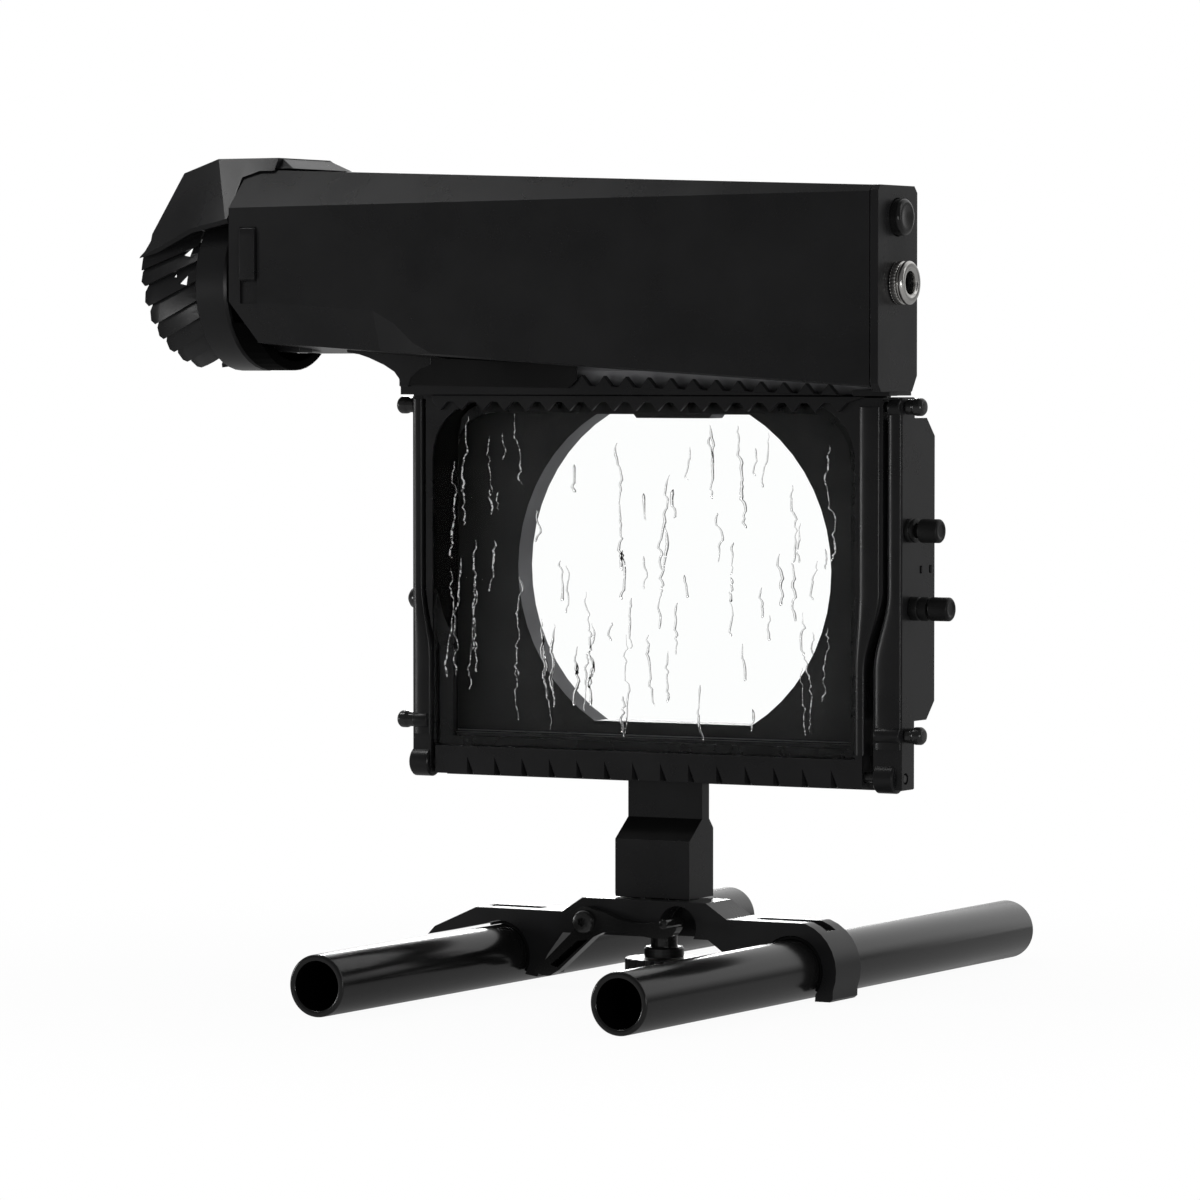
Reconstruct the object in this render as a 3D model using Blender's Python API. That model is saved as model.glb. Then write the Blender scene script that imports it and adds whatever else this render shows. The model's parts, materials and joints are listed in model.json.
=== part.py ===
"""Camera rain deflector on 19 mm studio rods: fan, duct, air nozzle, glass door, rear plate and rod clamp.

Lengths in this file are millimetres in the design frame: X to the right seen from the front, Y away from
the front, Z up. X = 0 is midway between the rods, Y = 0 the rods' near ends and Z = 0 the rods' axes.
The last function sets the whole model down with its origin under the middle of its box.
"""
import math

import bmesh
import bpy
from mathutils import Matrix, Vector

MM = 0.001
GAP = 0.3

# Rods and clamp
ROD_D = 19.0
ROD_WALL = 2.0
ROD_SPACING = 104.0
ROD_LENGTH = 267.0
CLAMP_Y0 = 110.5
CLAMP_DEPTH = 17.0
CLAMP_TOP = 19.5
ARM_TOP = 14.8
HOOK_WALL = 4.6
LINER_T = 0.8
JAW_BOTTOM = -9.2
LEVER_X = -18.6
LEVER_Z = 12.3
LEVER_T = 4.0
KNOB_R = 12.4
STUD_R = 4.2

# Riser
RISER_W = 26.5
RISER_Y0 = 116.0
RISER_DEPTH = 16.0
RISER_BLOCK_TOP = 38.0
NECK_Y0 = 124.5
NECK_T = 4.7
NECK_TOP = 65.5

# Window head
FRAME_W = 174.4
FRAME_Z0 = 55.0
FRAME_Z1 = 176.9
FRAME_Y0 = 116.0
DOOR_T = 5.3
BACK_Y = 138.6
MASK_Y0 = 129.7
RIM_Y0 = 124.8
ARM_LOW_LEFT = 6.6
ARM_LOW_RIGHT = 9.8
ARM_TOP_LEFT = 3.6
ARM_TOP_RIGHT = 5.0
OPEN_LEFT = 7.2
OPEN_RIGHT = 16.2
OPEN_Z0 = 65.5
LENS_R = 56.0
LENS_Z = 122.5
LENS_CUT_TOP = 7.1
LENS_CUT_BOTTOM = 7.6
GLASS_T = 2.6
BEAD = 3.0
HINGE_Y = 118.6
HINGE_Z = 60.0
HINGE_PIN_R = 1.5
BARREL_R = 4.7
PEG_R = 2.75
PEG_TOP_Z = 174.1
PEG_LOW_Z = 73.35
PEG_OUT = 6.4
TOOTH_PITCH = 7.9

# Control side
BOX_DEPTH_X = 21.2
BOX_Z0 = 77.5
BOX_Z1 = 170.7
BOX_WALL = 2.0
KNOB_D = 7.4
BUTTON_Y = 120.4
BUTTON_Z = 136.2
SPEED_Y = 122.8
SPEED_Z = 112.2

# Duct
DUCT_Y0 = 99.0
DUCT_X0 = -146.0
DUCT_INSET = 3.0
DUCT_WALL = 2.0
SHELL_SPLIT = 112.5
CAP_T = 3.0
POWER_D = 11.3
POWER_Z = 232.0
SOCKET_D = 13.4
SOCKET_Z = 212.0

# Fan
FAN_Y = 127.0
FAN_Z = 213.0
FAN_R = 28.0
RING_X0 = -159.4
RING_X1 = -147.4
RING_WALL = 2.2
HOOD_TOP = 253.7
FIN_TIP_X = -181.0
FIN_TIP_ANGLES = (2.2, 16.0, 29.0, 41.0, 53.5, 66.0, 78.0)
FIN_TIP_XS = (-179.8, -178.8, -177.8, -176.6, -175.3, -173.4, -171.4)
VISOR_ANGLE = -12.4
FIN_RISE = 19.0
BLADES = 7
INLET_R = 16.0
THROAT_SEAT = 3.4
THROAT_WALL = 2.2
CORNER_CUT = (8.0, 12.6)

ROD_R = ROD_D / 2
HALF_W = FRAME_W / 2
OPEN_X0 = OPEN_LEFT - HALF_W
OPEN_X1 = HALF_W - OPEN_RIGHT
BOX_X0 = HALF_W - BOX_DEPTH_X
DUCT_X1 = HALF_W - DUCT_INSET
LENS_FLAT_TOP = LENS_Z + LENS_R - LENS_CUT_TOP
LENS_FLAT_BOTTOM = LENS_Z - LENS_R + LENS_CUT_BOTTOM
CLAMP_Y1 = CLAMP_Y0 + CLAMP_DEPTH
BORE_R = ROD_R + 2 * GAP + LINER_T
HOOK_R = BORE_R + HOOK_WALL
THROAT_R = FAN_R - THROAT_SEAT - THROAT_WALL
DOOR_Y1 = FRAME_Y0 + DOOR_T


def clear_scene():
    for item in list(bpy.data.objects):
        bpy.data.objects.remove(item)


def material(name, colour, roughness, metallic=0.0, alpha=1.0):
    mat = bpy.data.materials.new(name)
    mat.use_nodes = True
    bsdf = mat.node_tree.nodes["Principled BSDF"]
    bsdf.inputs["Base Color"].default_value = (*colour, 1.0)
    bsdf.inputs["Roughness"].default_value = roughness
    bsdf.inputs["Metallic"].default_value = metallic
    bsdf.inputs["Alpha"].default_value = alpha
    return mat


def pivot(name, place, parent=None):
    """An empty on a joint's axis; place is in the design frame."""
    empty = bpy.data.objects.new(name, None)
    bpy.context.collection.objects.link(empty)
    empty["place"] = place
    base = parent["place"] if parent else (0.0, 0.0, 0.0)
    empty.location = [(a - b) * MM for a, b in zip(place, base)]
    empty.parent = parent
    return empty


def add(name, bm, mat, parent, smooth=False):
    """Turns a bmesh drawn in the design frame into an object under its parent empty."""
    bmesh.ops.recalc_face_normals(bm, faces=bm.faces)
    offset = -Vector(parent["place"])
    bmesh.ops.translate(bm, verts=bm.verts, vec=offset)
    bmesh.ops.scale(bm, verts=bm.verts, vec=(MM, MM, MM))
    mesh = bpy.data.meshes.new(name)
    bm.to_mesh(mesh)
    bm.free()
    if smooth:
        mesh.shade_smooth()
        mesh.set_sharp_from_angle(angle=math.radians(35))
    obj = bpy.data.objects.new(name, mesh)
    bpy.context.collection.objects.link(obj)
    obj.parent = parent
    if mat:
        mesh.materials.append(mat)
    return obj


def block(x0, x1, y0, y1, z0, z1):
    bm = bmesh.new()
    bmesh.ops.create_cube(bm, size=1.0)
    bmesh.ops.scale(bm, verts=bm.verts, vec=(x1 - x0, y1 - y0, z1 - z0))
    bmesh.ops.translate(bm, verts=bm.verts, vec=((x0 + x1) / 2, (y0 + y1) / 2, (z0 + z1) / 2))
    return bm


def prism(points, axis, low, high):
    """A closed outline pushed along an axis. Points are (x, z) for Y, (y, z) for X and (x, y) for Z."""
    place = {
        "X": lambda p, d: (d, p[0], p[1]),
        "Y": lambda p, d: (p[0], d, p[1]),
        "Z": lambda p, d: (p[0], p[1], d),
    }[axis]
    bm = bmesh.new()
    near = [bm.verts.new(place(p, low)) for p in points]
    far = [bm.verts.new(place(p, high)) for p in points]
    bm.faces.new(near)
    bm.faces.new(far[::-1])
    for i in range(len(points)):
        j = (i + 1) % len(points)
        bm.faces.new((near[i], far[i], far[j], near[j]))
    return bm


def turned(profile, centre, axis, sides=32):
    """A closed (distance along the axis, radius) outline turned about an axis through centre."""
    bm = bmesh.new()
    rings = []
    for along, radius in profile:
        if radius < 1e-6:
            rings.append([bm.verts.new(spun(along, 0.0, 0.0, centre, axis))])
            continue
        turn = [2 * math.pi * i / sides for i in range(sides)]
        rings.append([bm.verts.new(spun(along, radius, t, centre, axis)) for t in turn])
    hollow = profile[0][1] > 1e-6
    pairs = list(zip(rings, rings[1:])) + ([(rings[-1], rings[0])] if hollow else [])
    for a, b in pairs:
        for i in range(sides):
            j = (i + 1) % sides
            if len(a) == 1:
                bm.faces.new((a[0], b[i], b[j]))
            elif len(b) == 1:
                bm.faces.new((a[i], b[0], a[j]))
            else:
                bm.faces.new((a[i], b[i], b[j], a[j]))
    return bm


def spun(along, radius, angle, centre, axis):
    c, s = radius * math.cos(angle), radius * math.sin(angle)
    x, y, z = centre
    if axis == "X":
        return (x + along, y + c, z + s)
    if axis == "Y":
        return (x + c, y + along, z + s)
    return (x + c, y + s, z + along)


def rod_profile(length, radius, edge=0.4):
    """A solid pin with chamfered ends, from 0 to length."""
    near = [(0, 0), (0, radius - edge), (edge, radius)]
    return near + [(length - edge, radius), (length, radius - edge), (length, 0)]


def tube_profile(low, high, inner, outer, edge=0.4):
    return [
        (low, inner), (low, outer - edge), (low + edge, outer),
        (high - edge, outer), (high, outer - edge), (high, inner),
    ]


def arc(cx, cz, radius, start, end, steps):
    """Points on an arc, angles in degrees."""
    turn = [math.radians(start + (end - start) * i / steps) for i in range(steps + 1)]
    return [(cx + radius * math.cos(t), cz + radius * math.sin(t)) for t in turn]


def boolean(obj, tool_bm, operation="DIFFERENCE", label="cut"):
    """Cuts or joins obj with another shape, which stays as a hidden guide."""
    parent = obj.parent
    tool = add(obj.name + "_" + label + str(len(obj.modifiers)), tool_bm, None, parent)
    tool.hide_render = True
    tool.display_type = "WIRE"
    tool.hide_set(True)
    mod = obj.modifiers.new(label, "BOOLEAN")
    mod.operation = operation
    mod.object = tool
    mod.solver = "EXACT"
    return mod


def merge(*parts):
    """Several bmeshes as one, for a cutter of many separate pieces."""
    whole = bmesh.new()
    for part in parts:
        mesh = bpy.data.meshes.new("scratch")
        part.to_mesh(mesh)
        part.free()
        whole.from_mesh(mesh)
        bpy.data.meshes.remove(mesh)
    return whole


def build_rods(root, mats):
    for name, side in (("rod_left", -1), ("rod_right", 1)):
        profile = tube_profile(0, ROD_LENGTH, ROD_R - ROD_WALL, ROD_R, 0.6)
        bm = turned(profile, (side * ROD_SPACING / 2, 0, 0), "Y", 36)
        add(name, bm, mats["rod"], root, smooth=True)


def bridge_outline():
    half = ROD_SPACING / 2
    wing = half + ROD_R + 17.1
    under = 8.1
    points = [(-wing, 5.3), (-wing + 2.6, 8.0), (-half - 8.6, ARM_TOP), (-29.2, ARM_TOP), (-22, CLAMP_TOP)]
    points += [(22, CLAMP_TOP), (29.2, ARM_TOP), (half + 3.0, ARM_TOP)]
    points += arc(half, 0, HOOK_R, 72, -22, 8)
    points += [(half + HOOK_R - 1.2, JAW_BOTTOM + 0.8), (half + HOOK_R - 2.2, JAW_BOTTOM)]
    points += [(half + BORE_R * 0.75, JAW_BOTTOM)]
    points += arc(half, 0, BORE_R, -40, 158, 16)
    points += [(half - BORE_R - 4.0, 4.2), (28.4, 4.2), (22.8, under), (-29.0, under), (-34.5, 1.0)]
    points += [(-half + BORE_R * 1.25, -6.4)]
    points += arc(-half, 0, BORE_R, -32, 116, 12)
    return points


def build_clamp(carriage, mats):
    half = ROD_SPACING / 2
    bridge = add("clamp_bridge", prism(bridge_outline(), "Y", CLAMP_Y0, CLAMP_Y1), mats["body"], carriage)
    slot_y0, slot_y1 = CLAMP_Y0 + 5.5, CLAMP_Y1 - 5.5
    for low, high in ((-60.0, -40.0), (36.0, 62.0)):
        floor = BORE_R + 1.2
        boolean(bridge, block(low, high, slot_y0, slot_y1, floor, ARM_TOP + 1), label="slot")
    boolean(bridge, turned(rod_profile(30, STUD_R + GAP, 0.1), (0, RISER_Y0 + RISER_DEPTH / 2, 0), "Z", 24))
    pin_hole = rod_profile(20, 1.8, 0.1)
    for side in (-1, 1):
        boolean(bridge, turned(pin_hole, (side * 8.5, RISER_Y0 + 5.0, CLAMP_TOP - 5.3), "Z", 16), label="pin")
    boolean(bridge, turned(rod_profile(9, 1.8, 0.1), (LEVER_X, CLAMP_Y0 - 1, LEVER_Z), "Y", 16), label="lever")
    boolean(bridge, turned(rod_profile(9, 6.6, 0.1), (12.0, CLAMP_Y0 - 1, 11.6), "Y", 32), label="arch")
    inner, outer = ROD_R + GAP, ROD_R + GAP + LINER_T
    for name, side, start, end in (("jaw_liner_left", -1, -28, 112), ("jaw_liner_right", 1, -36, 150)):
        outline = arc(side * half, 0, outer, start, end, 14) + arc(side * half, 0, inner, end, start, 14)
        add(name, prism(outline, "Y", CLAMP_Y0 + 0.5, CLAMP_Y1 - 0.5), mats["rubber"], carriage)

    lever_pivot = pivot("lever_axis", (LEVER_X, CLAMP_Y0, LEVER_Z), carriage)
    y0, y1 = CLAMP_Y0 - GAP - LEVER_T, CLAMP_Y0 - GAP
    lever = add("cam_lever", prism(lever_outline(), "Y", y0, y1), mats["body"], lever_pivot)
    slot = [(-24.0, 5.2), (-20.0, 6.6), (-29.0, -1.6), (-32.6, -2.4)]
    boolean(lever, prism(slot, "Y", y0 - 1, y1 + 1), label="slot")
    boolean(lever, turned(rod_profile(12, 2.1, 0.1), (LEVER_X, y0 - 3, LEVER_Z), "Y", 20), label="pivot")
    tip = turned(rod_profile(LEVER_T + 7.5, 1.5, 0.3), (13.2, y0 - 7.5, 13.5), "Y", 16)
    boolean(lever, tip, "UNION", "roll")
    screw = [(0, 0), (0, 2.6), (0.4, 3.1), (2.2, 3.1), (2.2, 1.75), (14.0, 1.75), (14.0, 0)]
    screw = turned(screw_shift(screw, -2.5), (LEVER_X, y0, LEVER_Z), "Y", 24)
    add("lever_screw", screw, mats["steel"], carriage, True)

    y = RISER_Y0 + RISER_DEPTH / 2
    knob_pivot = pivot("knob_axis", (0, y, 0), carriage)
    knob = add("clamp_knob", knurled(KNOB_R, -6.8, 0.4, y), mats["body"], knob_pivot)
    boolean(knob, turned(rod_profile(20, 2.6, 0.1), (0, y, -10), "Z", 20), label="bore")
    washer = [(0.7, 4.5), (0.7, 6.3), (3.4, 6.3), (4.0, 5.8), (4.0, 4.5)]
    add("clamp_washer", turned(washer, (0, y, 0), "Z", 32), mats["steel"], knob_pivot, True)
    stud = [(-6.4, 0), (-6.4, 2.3), (0.7, 2.3), (0.7, STUD_R), (31.0, STUD_R), (31.6, STUD_R - 0.6), (31.6, 0)]
    add("clamp_stud", turned(stud, (0, y, 0), "Z", 24), mats["steel"], knob_pivot, True)


def screw_shift(profile, shift):
    return [(a + shift, r) for a, r in profile]


def lever_outline():
    """Boss at the pivot, one leg down to the left that ends under the rod, one arm to the right."""
    points = arc(LEVER_X, LEVER_Z, 4.8, 60, 190, 8)
    points += [(-37.6, -4.2), (-31.6, -7.4), (-26.4, -4.0), (-8.6, 8.6), (-6.0, 9.9)]
    points += [(6.0, 9.6), (13.0, 11.9), (14.0, 13.2), (12.8, 14.3), (4.0, 12.2), (-5.0, 12.6), (-11.0, 14.6)]
    return points


def knurled(radius, z0, z1, y):
    """A disc with straight grooves round its edge."""
    count = 24
    points = []
    for i in range(count):
        for share, r in ((0.0, radius), (0.55, radius), (0.7, radius - 0.9), (0.85, radius - 0.9)):
            turn = 2 * math.pi * (i + share) / count
            points.append((r * math.cos(turn), y + r * math.sin(turn)))
    return prism(points, "Z", z0, z1)


def build_riser(carriage, mats):
    y0, y1 = RISER_Y0, RISER_Y0 + RISER_DEPTH
    neck_back = NECK_Y0 + NECK_T
    rise = 6.5
    side = [(y0, CLAMP_TOP + GAP), (y0, RISER_BLOCK_TOP), (NECK_Y0, RISER_BLOCK_TOP + rise), (NECK_Y0, NECK_TOP)]
    side += [(neck_back, NECK_TOP), (neck_back, RISER_BLOCK_TOP + rise), (y1, RISER_BLOCK_TOP + 3.4)]
    side += [(y1, CLAMP_TOP + GAP)]
    riser = add("riser_bracket", prism(side, "X", -RISER_W / 2, RISER_W / 2), mats["body"], carriage)
    y = RISER_Y0 + RISER_DEPTH / 2
    boolean(riser, turned(rod_profile(15.0, STUD_R + GAP, 0.1), (0, y, CLAMP_TOP - 2.0), "Z", 24), label="stud")
    for number, side_x in (("left", -8.5), ("right", 8.5)):
        hole = turned(rod_profile(8.0, 1.8, 0.1), (side_x, RISER_Y0 + 5.0, CLAMP_TOP - 2.0), "Z", 16)
        boolean(riser, hole, label="pin")
        pin = turned(rod_profile(9.6, 1.5), (side_x, RISER_Y0 + 5.0, CLAMP_TOP - 4.7), "Z", 16)
        add("twist_pin_" + number, pin, mats["steel"], carriage, True)
        screw_z = NECK_TOP - 5.0
        cone = [(-1, 0), (-1, 3.5), (0.4, 3.5), (2.0, 1.9), (8, 1.9), (8, 0)]
        boolean(riser, turned(cone, (side_x, NECK_Y0, screw_z), "Y", 20), label="screw")
        screw = [(0.2, 0), (0.2, 3.0), (0.7, 3.0), (2.2, 1.5), (11.0, 1.5), (11.0, 0)]
        add("neck_screw_" + number, turned(screw, (side_x, NECK_Y0, screw_z), "Y", 20), mats["steel"], carriage, True)


def arm_edge(side):
    """Inner edge of a side arm, bottom to top: wide low down, an S-curve, then narrow."""
    low = HALF_W - ARM_LOW_RIGHT if side > 0 else ARM_LOW_LEFT - HALF_W
    high = HALF_W - ARM_TOP_RIGHT if side > 0 else ARM_TOP_LEFT - HALF_W
    points = [(low, FRAME_Z0 + 1.6), (low, 93.0)]
    for i in range(1, 8):
        share = i / 8
        ease = 3 * share ** 2 - 2 * share ** 3
        points.append((low + (high - low) * ease, 93.0 + 24.0 * share))
    return points + [(high, 117.0), (high, FRAME_Z1)]


def door_edge(side):
    """Outer edge of the door, parallel to the arm: wider slot low down."""
    top_slot, low_slot = (1.7, 3.9) if side > 0 else (1.2, 1.6)
    out = []
    for x, z in arm_edge(side):
        share = min(max((z - 93.0) / 24.0, 0.0), 1.0)
        out.append((x - side * (low_slot + (top_slot - low_slot) * share), z))
    return out


def window_outline(x0, x1, z0, z1, radius):
    """A window with square lower corners and rounded upper ones."""
    points = [(x0, z0), (x1, z0)]
    points += arc(x1 - radius, z1 - radius, radius, 0, 90, 8)
    points += arc(x0 + radius, z1 - radius, radius, 90, 180, 8)
    return points


def comb(x0, x1, root, tip, pitch, y0, y1):
    """A strip with one row of pointed teeth; root and tip give Z along X."""
    count = int((x1 - x0) / pitch)
    points = [(x0, root[0]), (x1, root[1])]
    span = x1 - x0

    def level(x, pair):
        return pair[0] + (pair[1] - pair[0]) * (x - x0) / span

    for i in range(count, 0, -1):
        right = x0 + (i) * pitch
        base = level(right, (root[2], root[3]))
        points.append((right - 0.25 * pitch, base))
        points.append((right - 0.6 * pitch, level(right, tip)))
        points.append((right - 0.95 * pitch, base))
    return prism(points, "Y", y0, y1)


def build_door(carriage, mats):
    door = pivot("door_axis", (0, HINGE_Y, HINGE_Z), carriage)
    outline = door_edge(1) + door_edge(-1)[::-1]
    frame = add("door_frame", prism(outline, "Y", FRAME_Y0, DOOR_Y1), mats["body"], door)
    hole = window_outline(OPEN_X0 + BEAD * 2, OPEN_X1 - BEAD, OPEN_Z0 + BEAD, FRAME_Z1 - 5.0, 15.0)
    boolean(frame, prism(hole, "Y", FRAME_Y0 - 1, DOOR_Y1 + 1), label="window")
    pocket = window_outline(OPEN_X0, OPEN_X1, OPEN_Z0, FRAME_Z1 - 1.6, 18.0)
    pocket_y = FRAME_Y0 + 0.4 + GLASS_T + GAP
    boolean(frame, prism(pocket, "Y", FRAME_Y0 - 1, pocket_y), label="pocket")
    notches = []
    x = -66.0
    while x < 70.0:
        notches.append(notch(x))
        x += 10.0
    boolean(frame, merge(*notches), label="notches")
    for side, edge in ((-1, door_edge(-1)[0][0]), (1, door_edge(1)[0][0])):
        bore = rod_profile(9.3, HINGE_PIN_R + GAP, 0.1)
        start = edge - 9.0 if side > 0 else edge - 0.3
        boolean(frame, turned(bore, (start, HINGE_Y, HINGE_Z), "X", 16), label="pin")
        edge_top = door_edge(side)[-1][0]
        start = edge_top - 3.8 if side > 0 else edge_top - 2.0
        groove = block(start, start + 5.8, HINGE_Y - 1.5, DOOR_Y1 + 1, PEG_TOP_Z - 1.6, PEG_TOP_Z + 1.6)
        boolean(frame, groove, label="latch")
    seat = 0.3
    glass = window_outline(OPEN_X0 + seat, OPEN_X1 - seat, OPEN_Z0 + seat, FRAME_Z1 - 1.6 - seat, 17.7)
    add("glass_pane", prism(glass, "Y", pocket_y - GLASS_T - GAP, pocket_y - GAP), mats["glass"], door)
    levels = (FRAME_Z1 + 0.4, FRAME_Z1 + 0.4, FRAME_Z1 - 1.6, FRAME_Z1 - 1.6)
    teeth = comb(-79.5, 75.0, levels, (172.5, 172.5), TOOTH_PITCH, FRAME_Y0 - 1.5, FRAME_Y0 - GAP / 3)
    add("lower_comb", teeth, mats["body"], door)


def notch(x):
    """A three-sided groove in the front face of the bottom bar, widening downwards."""
    bm = bmesh.new()
    top = bm.verts.new((x - 1.5, FRAME_Y0 - 0.5, OPEN_Z0 - 1.6))
    left = bm.verts.new((x - 1.6, FRAME_Y0 - 0.5, FRAME_Z0 - 2.0))
    right = bm.verts.new((x + 3.2, FRAME_Y0 - 0.5, FRAME_Z0 - 2.0))
    deep = bm.verts.new((x + 0.4, FRAME_Y0 + 3.4, FRAME_Z0 - 2.0))
    for face in ((top, left, right), (top, right, deep), (top, deep, left), (left, deep, right)):
        bm.faces.new(face)
    return bm


def build_rear_housing(carriage, mats):
    x0, x1 = -HALF_W + 4.5, 80.0
    housing = add("rear_housing", block(x0, x1, MASK_Y0, BACK_Y, FRAME_Z0 + 0.3, FRAME_Z1 + 0.1), mats["body"], carriage)
    rim = 3.0
    walls = [
        block(x0, x0 + rim, RIM_Y0, MASK_Y0 + 1, 66.5, FRAME_Z1 + 0.1),
        block(x0 + rim - 0.5, x1, RIM_Y0, MASK_Y0 + 1, FRAME_Z1 - 3.4, FRAME_Z1 + 0.1),
        block(x0 + rim - 0.5, x1, RIM_Y0, MASK_Y0 + 1, 66.5, 70.0),
    ]
    for wall in walls:
        boolean(housing, wall, "UNION", "rim")
    notch_box = block(BOX_X0 - GAP, x1 + 1, RIM_Y0 - 1, BACK_Y + 1, BOX_Z0 - GAP, BOX_Z1 + GAP)
    boolean(housing, notch_box, label="box")
    boolean(housing, prism(lens_outline(), "Y", MASK_Y0 - 1, BACK_Y + 1), label="lens")
    for side_x in (-8.5, 8.5):
        hole = turned(rod_profile(7, 1.8, 0.1), (side_x, MASK_Y0 - 1, NECK_TOP - 5.0), "Y", 16)
        boolean(housing, hole, label="screw")
    seal_outer = window_outline(-79.0, 73.0, 66.6, 175.6, 16.0)
    seal = add("door_seal", prism(seal_outer, "Y", DOOR_Y1 + GAP, RIM_Y0 - GAP), mats["rubber"], carriage)
    seal_inner = window_outline(-75.5, 69.5, 69.6, 172.6, 13.0)
    boolean(seal, prism(seal_inner, "Y", DOOR_Y1 - 1, RIM_Y0 + 1), label="inside")
    plate = [(-HALF_W, FRAME_Z0 + 1.6)] + arm_edge(-1) + [(-HALF_W, FRAME_Z1)]
    left = add("side_plate_left", prism(plate, "Y", FRAME_Y0, RIM_Y0 - GAP), mats["body"], carriage)
    boolean(left, block(-HALF_W, x0 - GAP, RIM_Y0 - 1, BACK_Y, FRAME_Z0 + 1.6, FRAME_Z1), "UNION", "side")
    barrel = turned(rod_profile(7.0, BARREL_R, 0.5), (-HALF_W - 0.6, HINGE_Y, HINGE_Z), "X", 24)
    boolean(left, barrel, "UNION", "barrel")
    drill_arm(left, -1)
    screw = [(-3.0, 0), (-3.0, 1.8), (-2.0, 3.2), (0, 3.65), (0.4, 3.65), (0.4, 1.4), (3.2, 1.4), (3.2, 0)]
    screw = [(-a, r) for a, r in screw]
    boolean(left, turned(rod_profile(9, 1.8, 0.1), (-HALF_W - 1, 121.0, 112.2), "X", 16), label="screw")
    base = (-HALF_W - 0.7, 121.0, 112.2)
    add("side_screw", turned([(-a, r) for a, r in screw], base, "X", 24), mats["steel_dark"], carriage, True)
    return housing


def drill_arm(arm, side):
    """Holes for the hinge pin, the latch pin and the lower peg in one side arm."""
    reach = 12.0
    start = HALF_W - reach + 2.0 if side > 0 else -HALF_W - 2.0
    boolean(arm, turned(rod_profile(reach, HINGE_PIN_R + GAP, 0.1), (start, HINGE_Y, HINGE_Z), "X", 16), label="hinge")
    boolean(arm, turned(rod_profile(reach, 1.5, 0.1), (start, HINGE_Y, PEG_TOP_Z), "X", 16), label="latch")
    boolean(arm, turned(rod_profile(reach, 1.5, 0.1), (start, HINGE_Y, PEG_LOW_Z), "X", 16), label="peg")


def build_pins(carriage, mats):
    for name, side in (("left", -1), ("right", 1)):
        low_edge = abs(door_edge(side)[0][0])
        inner, outer = low_edge - 7.0, HALF_W - 0.2
        start = inner if side > 0 else -outer
        pin = turned(rod_profile(outer - inner, HINGE_PIN_R), (start, HINGE_Y, HINGE_Z), "X", 16)
        add("hinge_pin_" + name, pin, mats["steel"], carriage, True)
        latch_axis = pivot("latch_axis_" + name, (side * HALF_W, HINGE_Y, PEG_TOP_Z), carriage)
        top_edge = abs(door_edge(side)[-1][0])
        for label, z, inner, holder in (
            ("latch_pin_", PEG_TOP_Z, top_edge - 3.0, latch_axis),
            ("side_peg_", PEG_LOW_Z, HALF_W - 4.0, carriage),
        ):
            tip = HALF_W + PEG_OUT
            profile = [(inner, 0), (inner, 1.2), (HALF_W + 0.3, 1.2), (HALF_W + 0.3, PEG_R - 0.4)]
            profile += [(HALF_W + 2.2, PEG_R - 0.4), (HALF_W + 3.4, PEG_R), (tip - 0.8, PEG_R), (tip, PEG_R - 0.9), (tip, 0)]
            if side < 0:
                profile = [(-a, r) for a, r in profile]
            peg = turned(profile, (0, HINGE_Y, z), "X", 20)
            add(label + name, peg, mats["steel_dark"], holder, True)


def lens_outline():
    """A circle cut flat at the top and at the bottom, with a shallow tab notch in the top flat."""
    top = math.degrees(math.asin((LENS_FLAT_TOP - LENS_Z) / LENS_R))
    low = math.degrees(math.asin((LENS_FLAT_BOTTOM - LENS_Z) / LENS_R))
    right = arc(0, LENS_Z, LENS_R, low, top, 18)
    left = arc(0, LENS_Z, LENS_R, 180 - top, 180 - low, 18)
    tab = [(14.0, LENS_FLAT_TOP), (13.0, LENS_FLAT_TOP - 1.2), (-13.0, LENS_FLAT_TOP - 1.2), (-14.0, LENS_FLAT_TOP)]
    return right + tab + left


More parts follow.
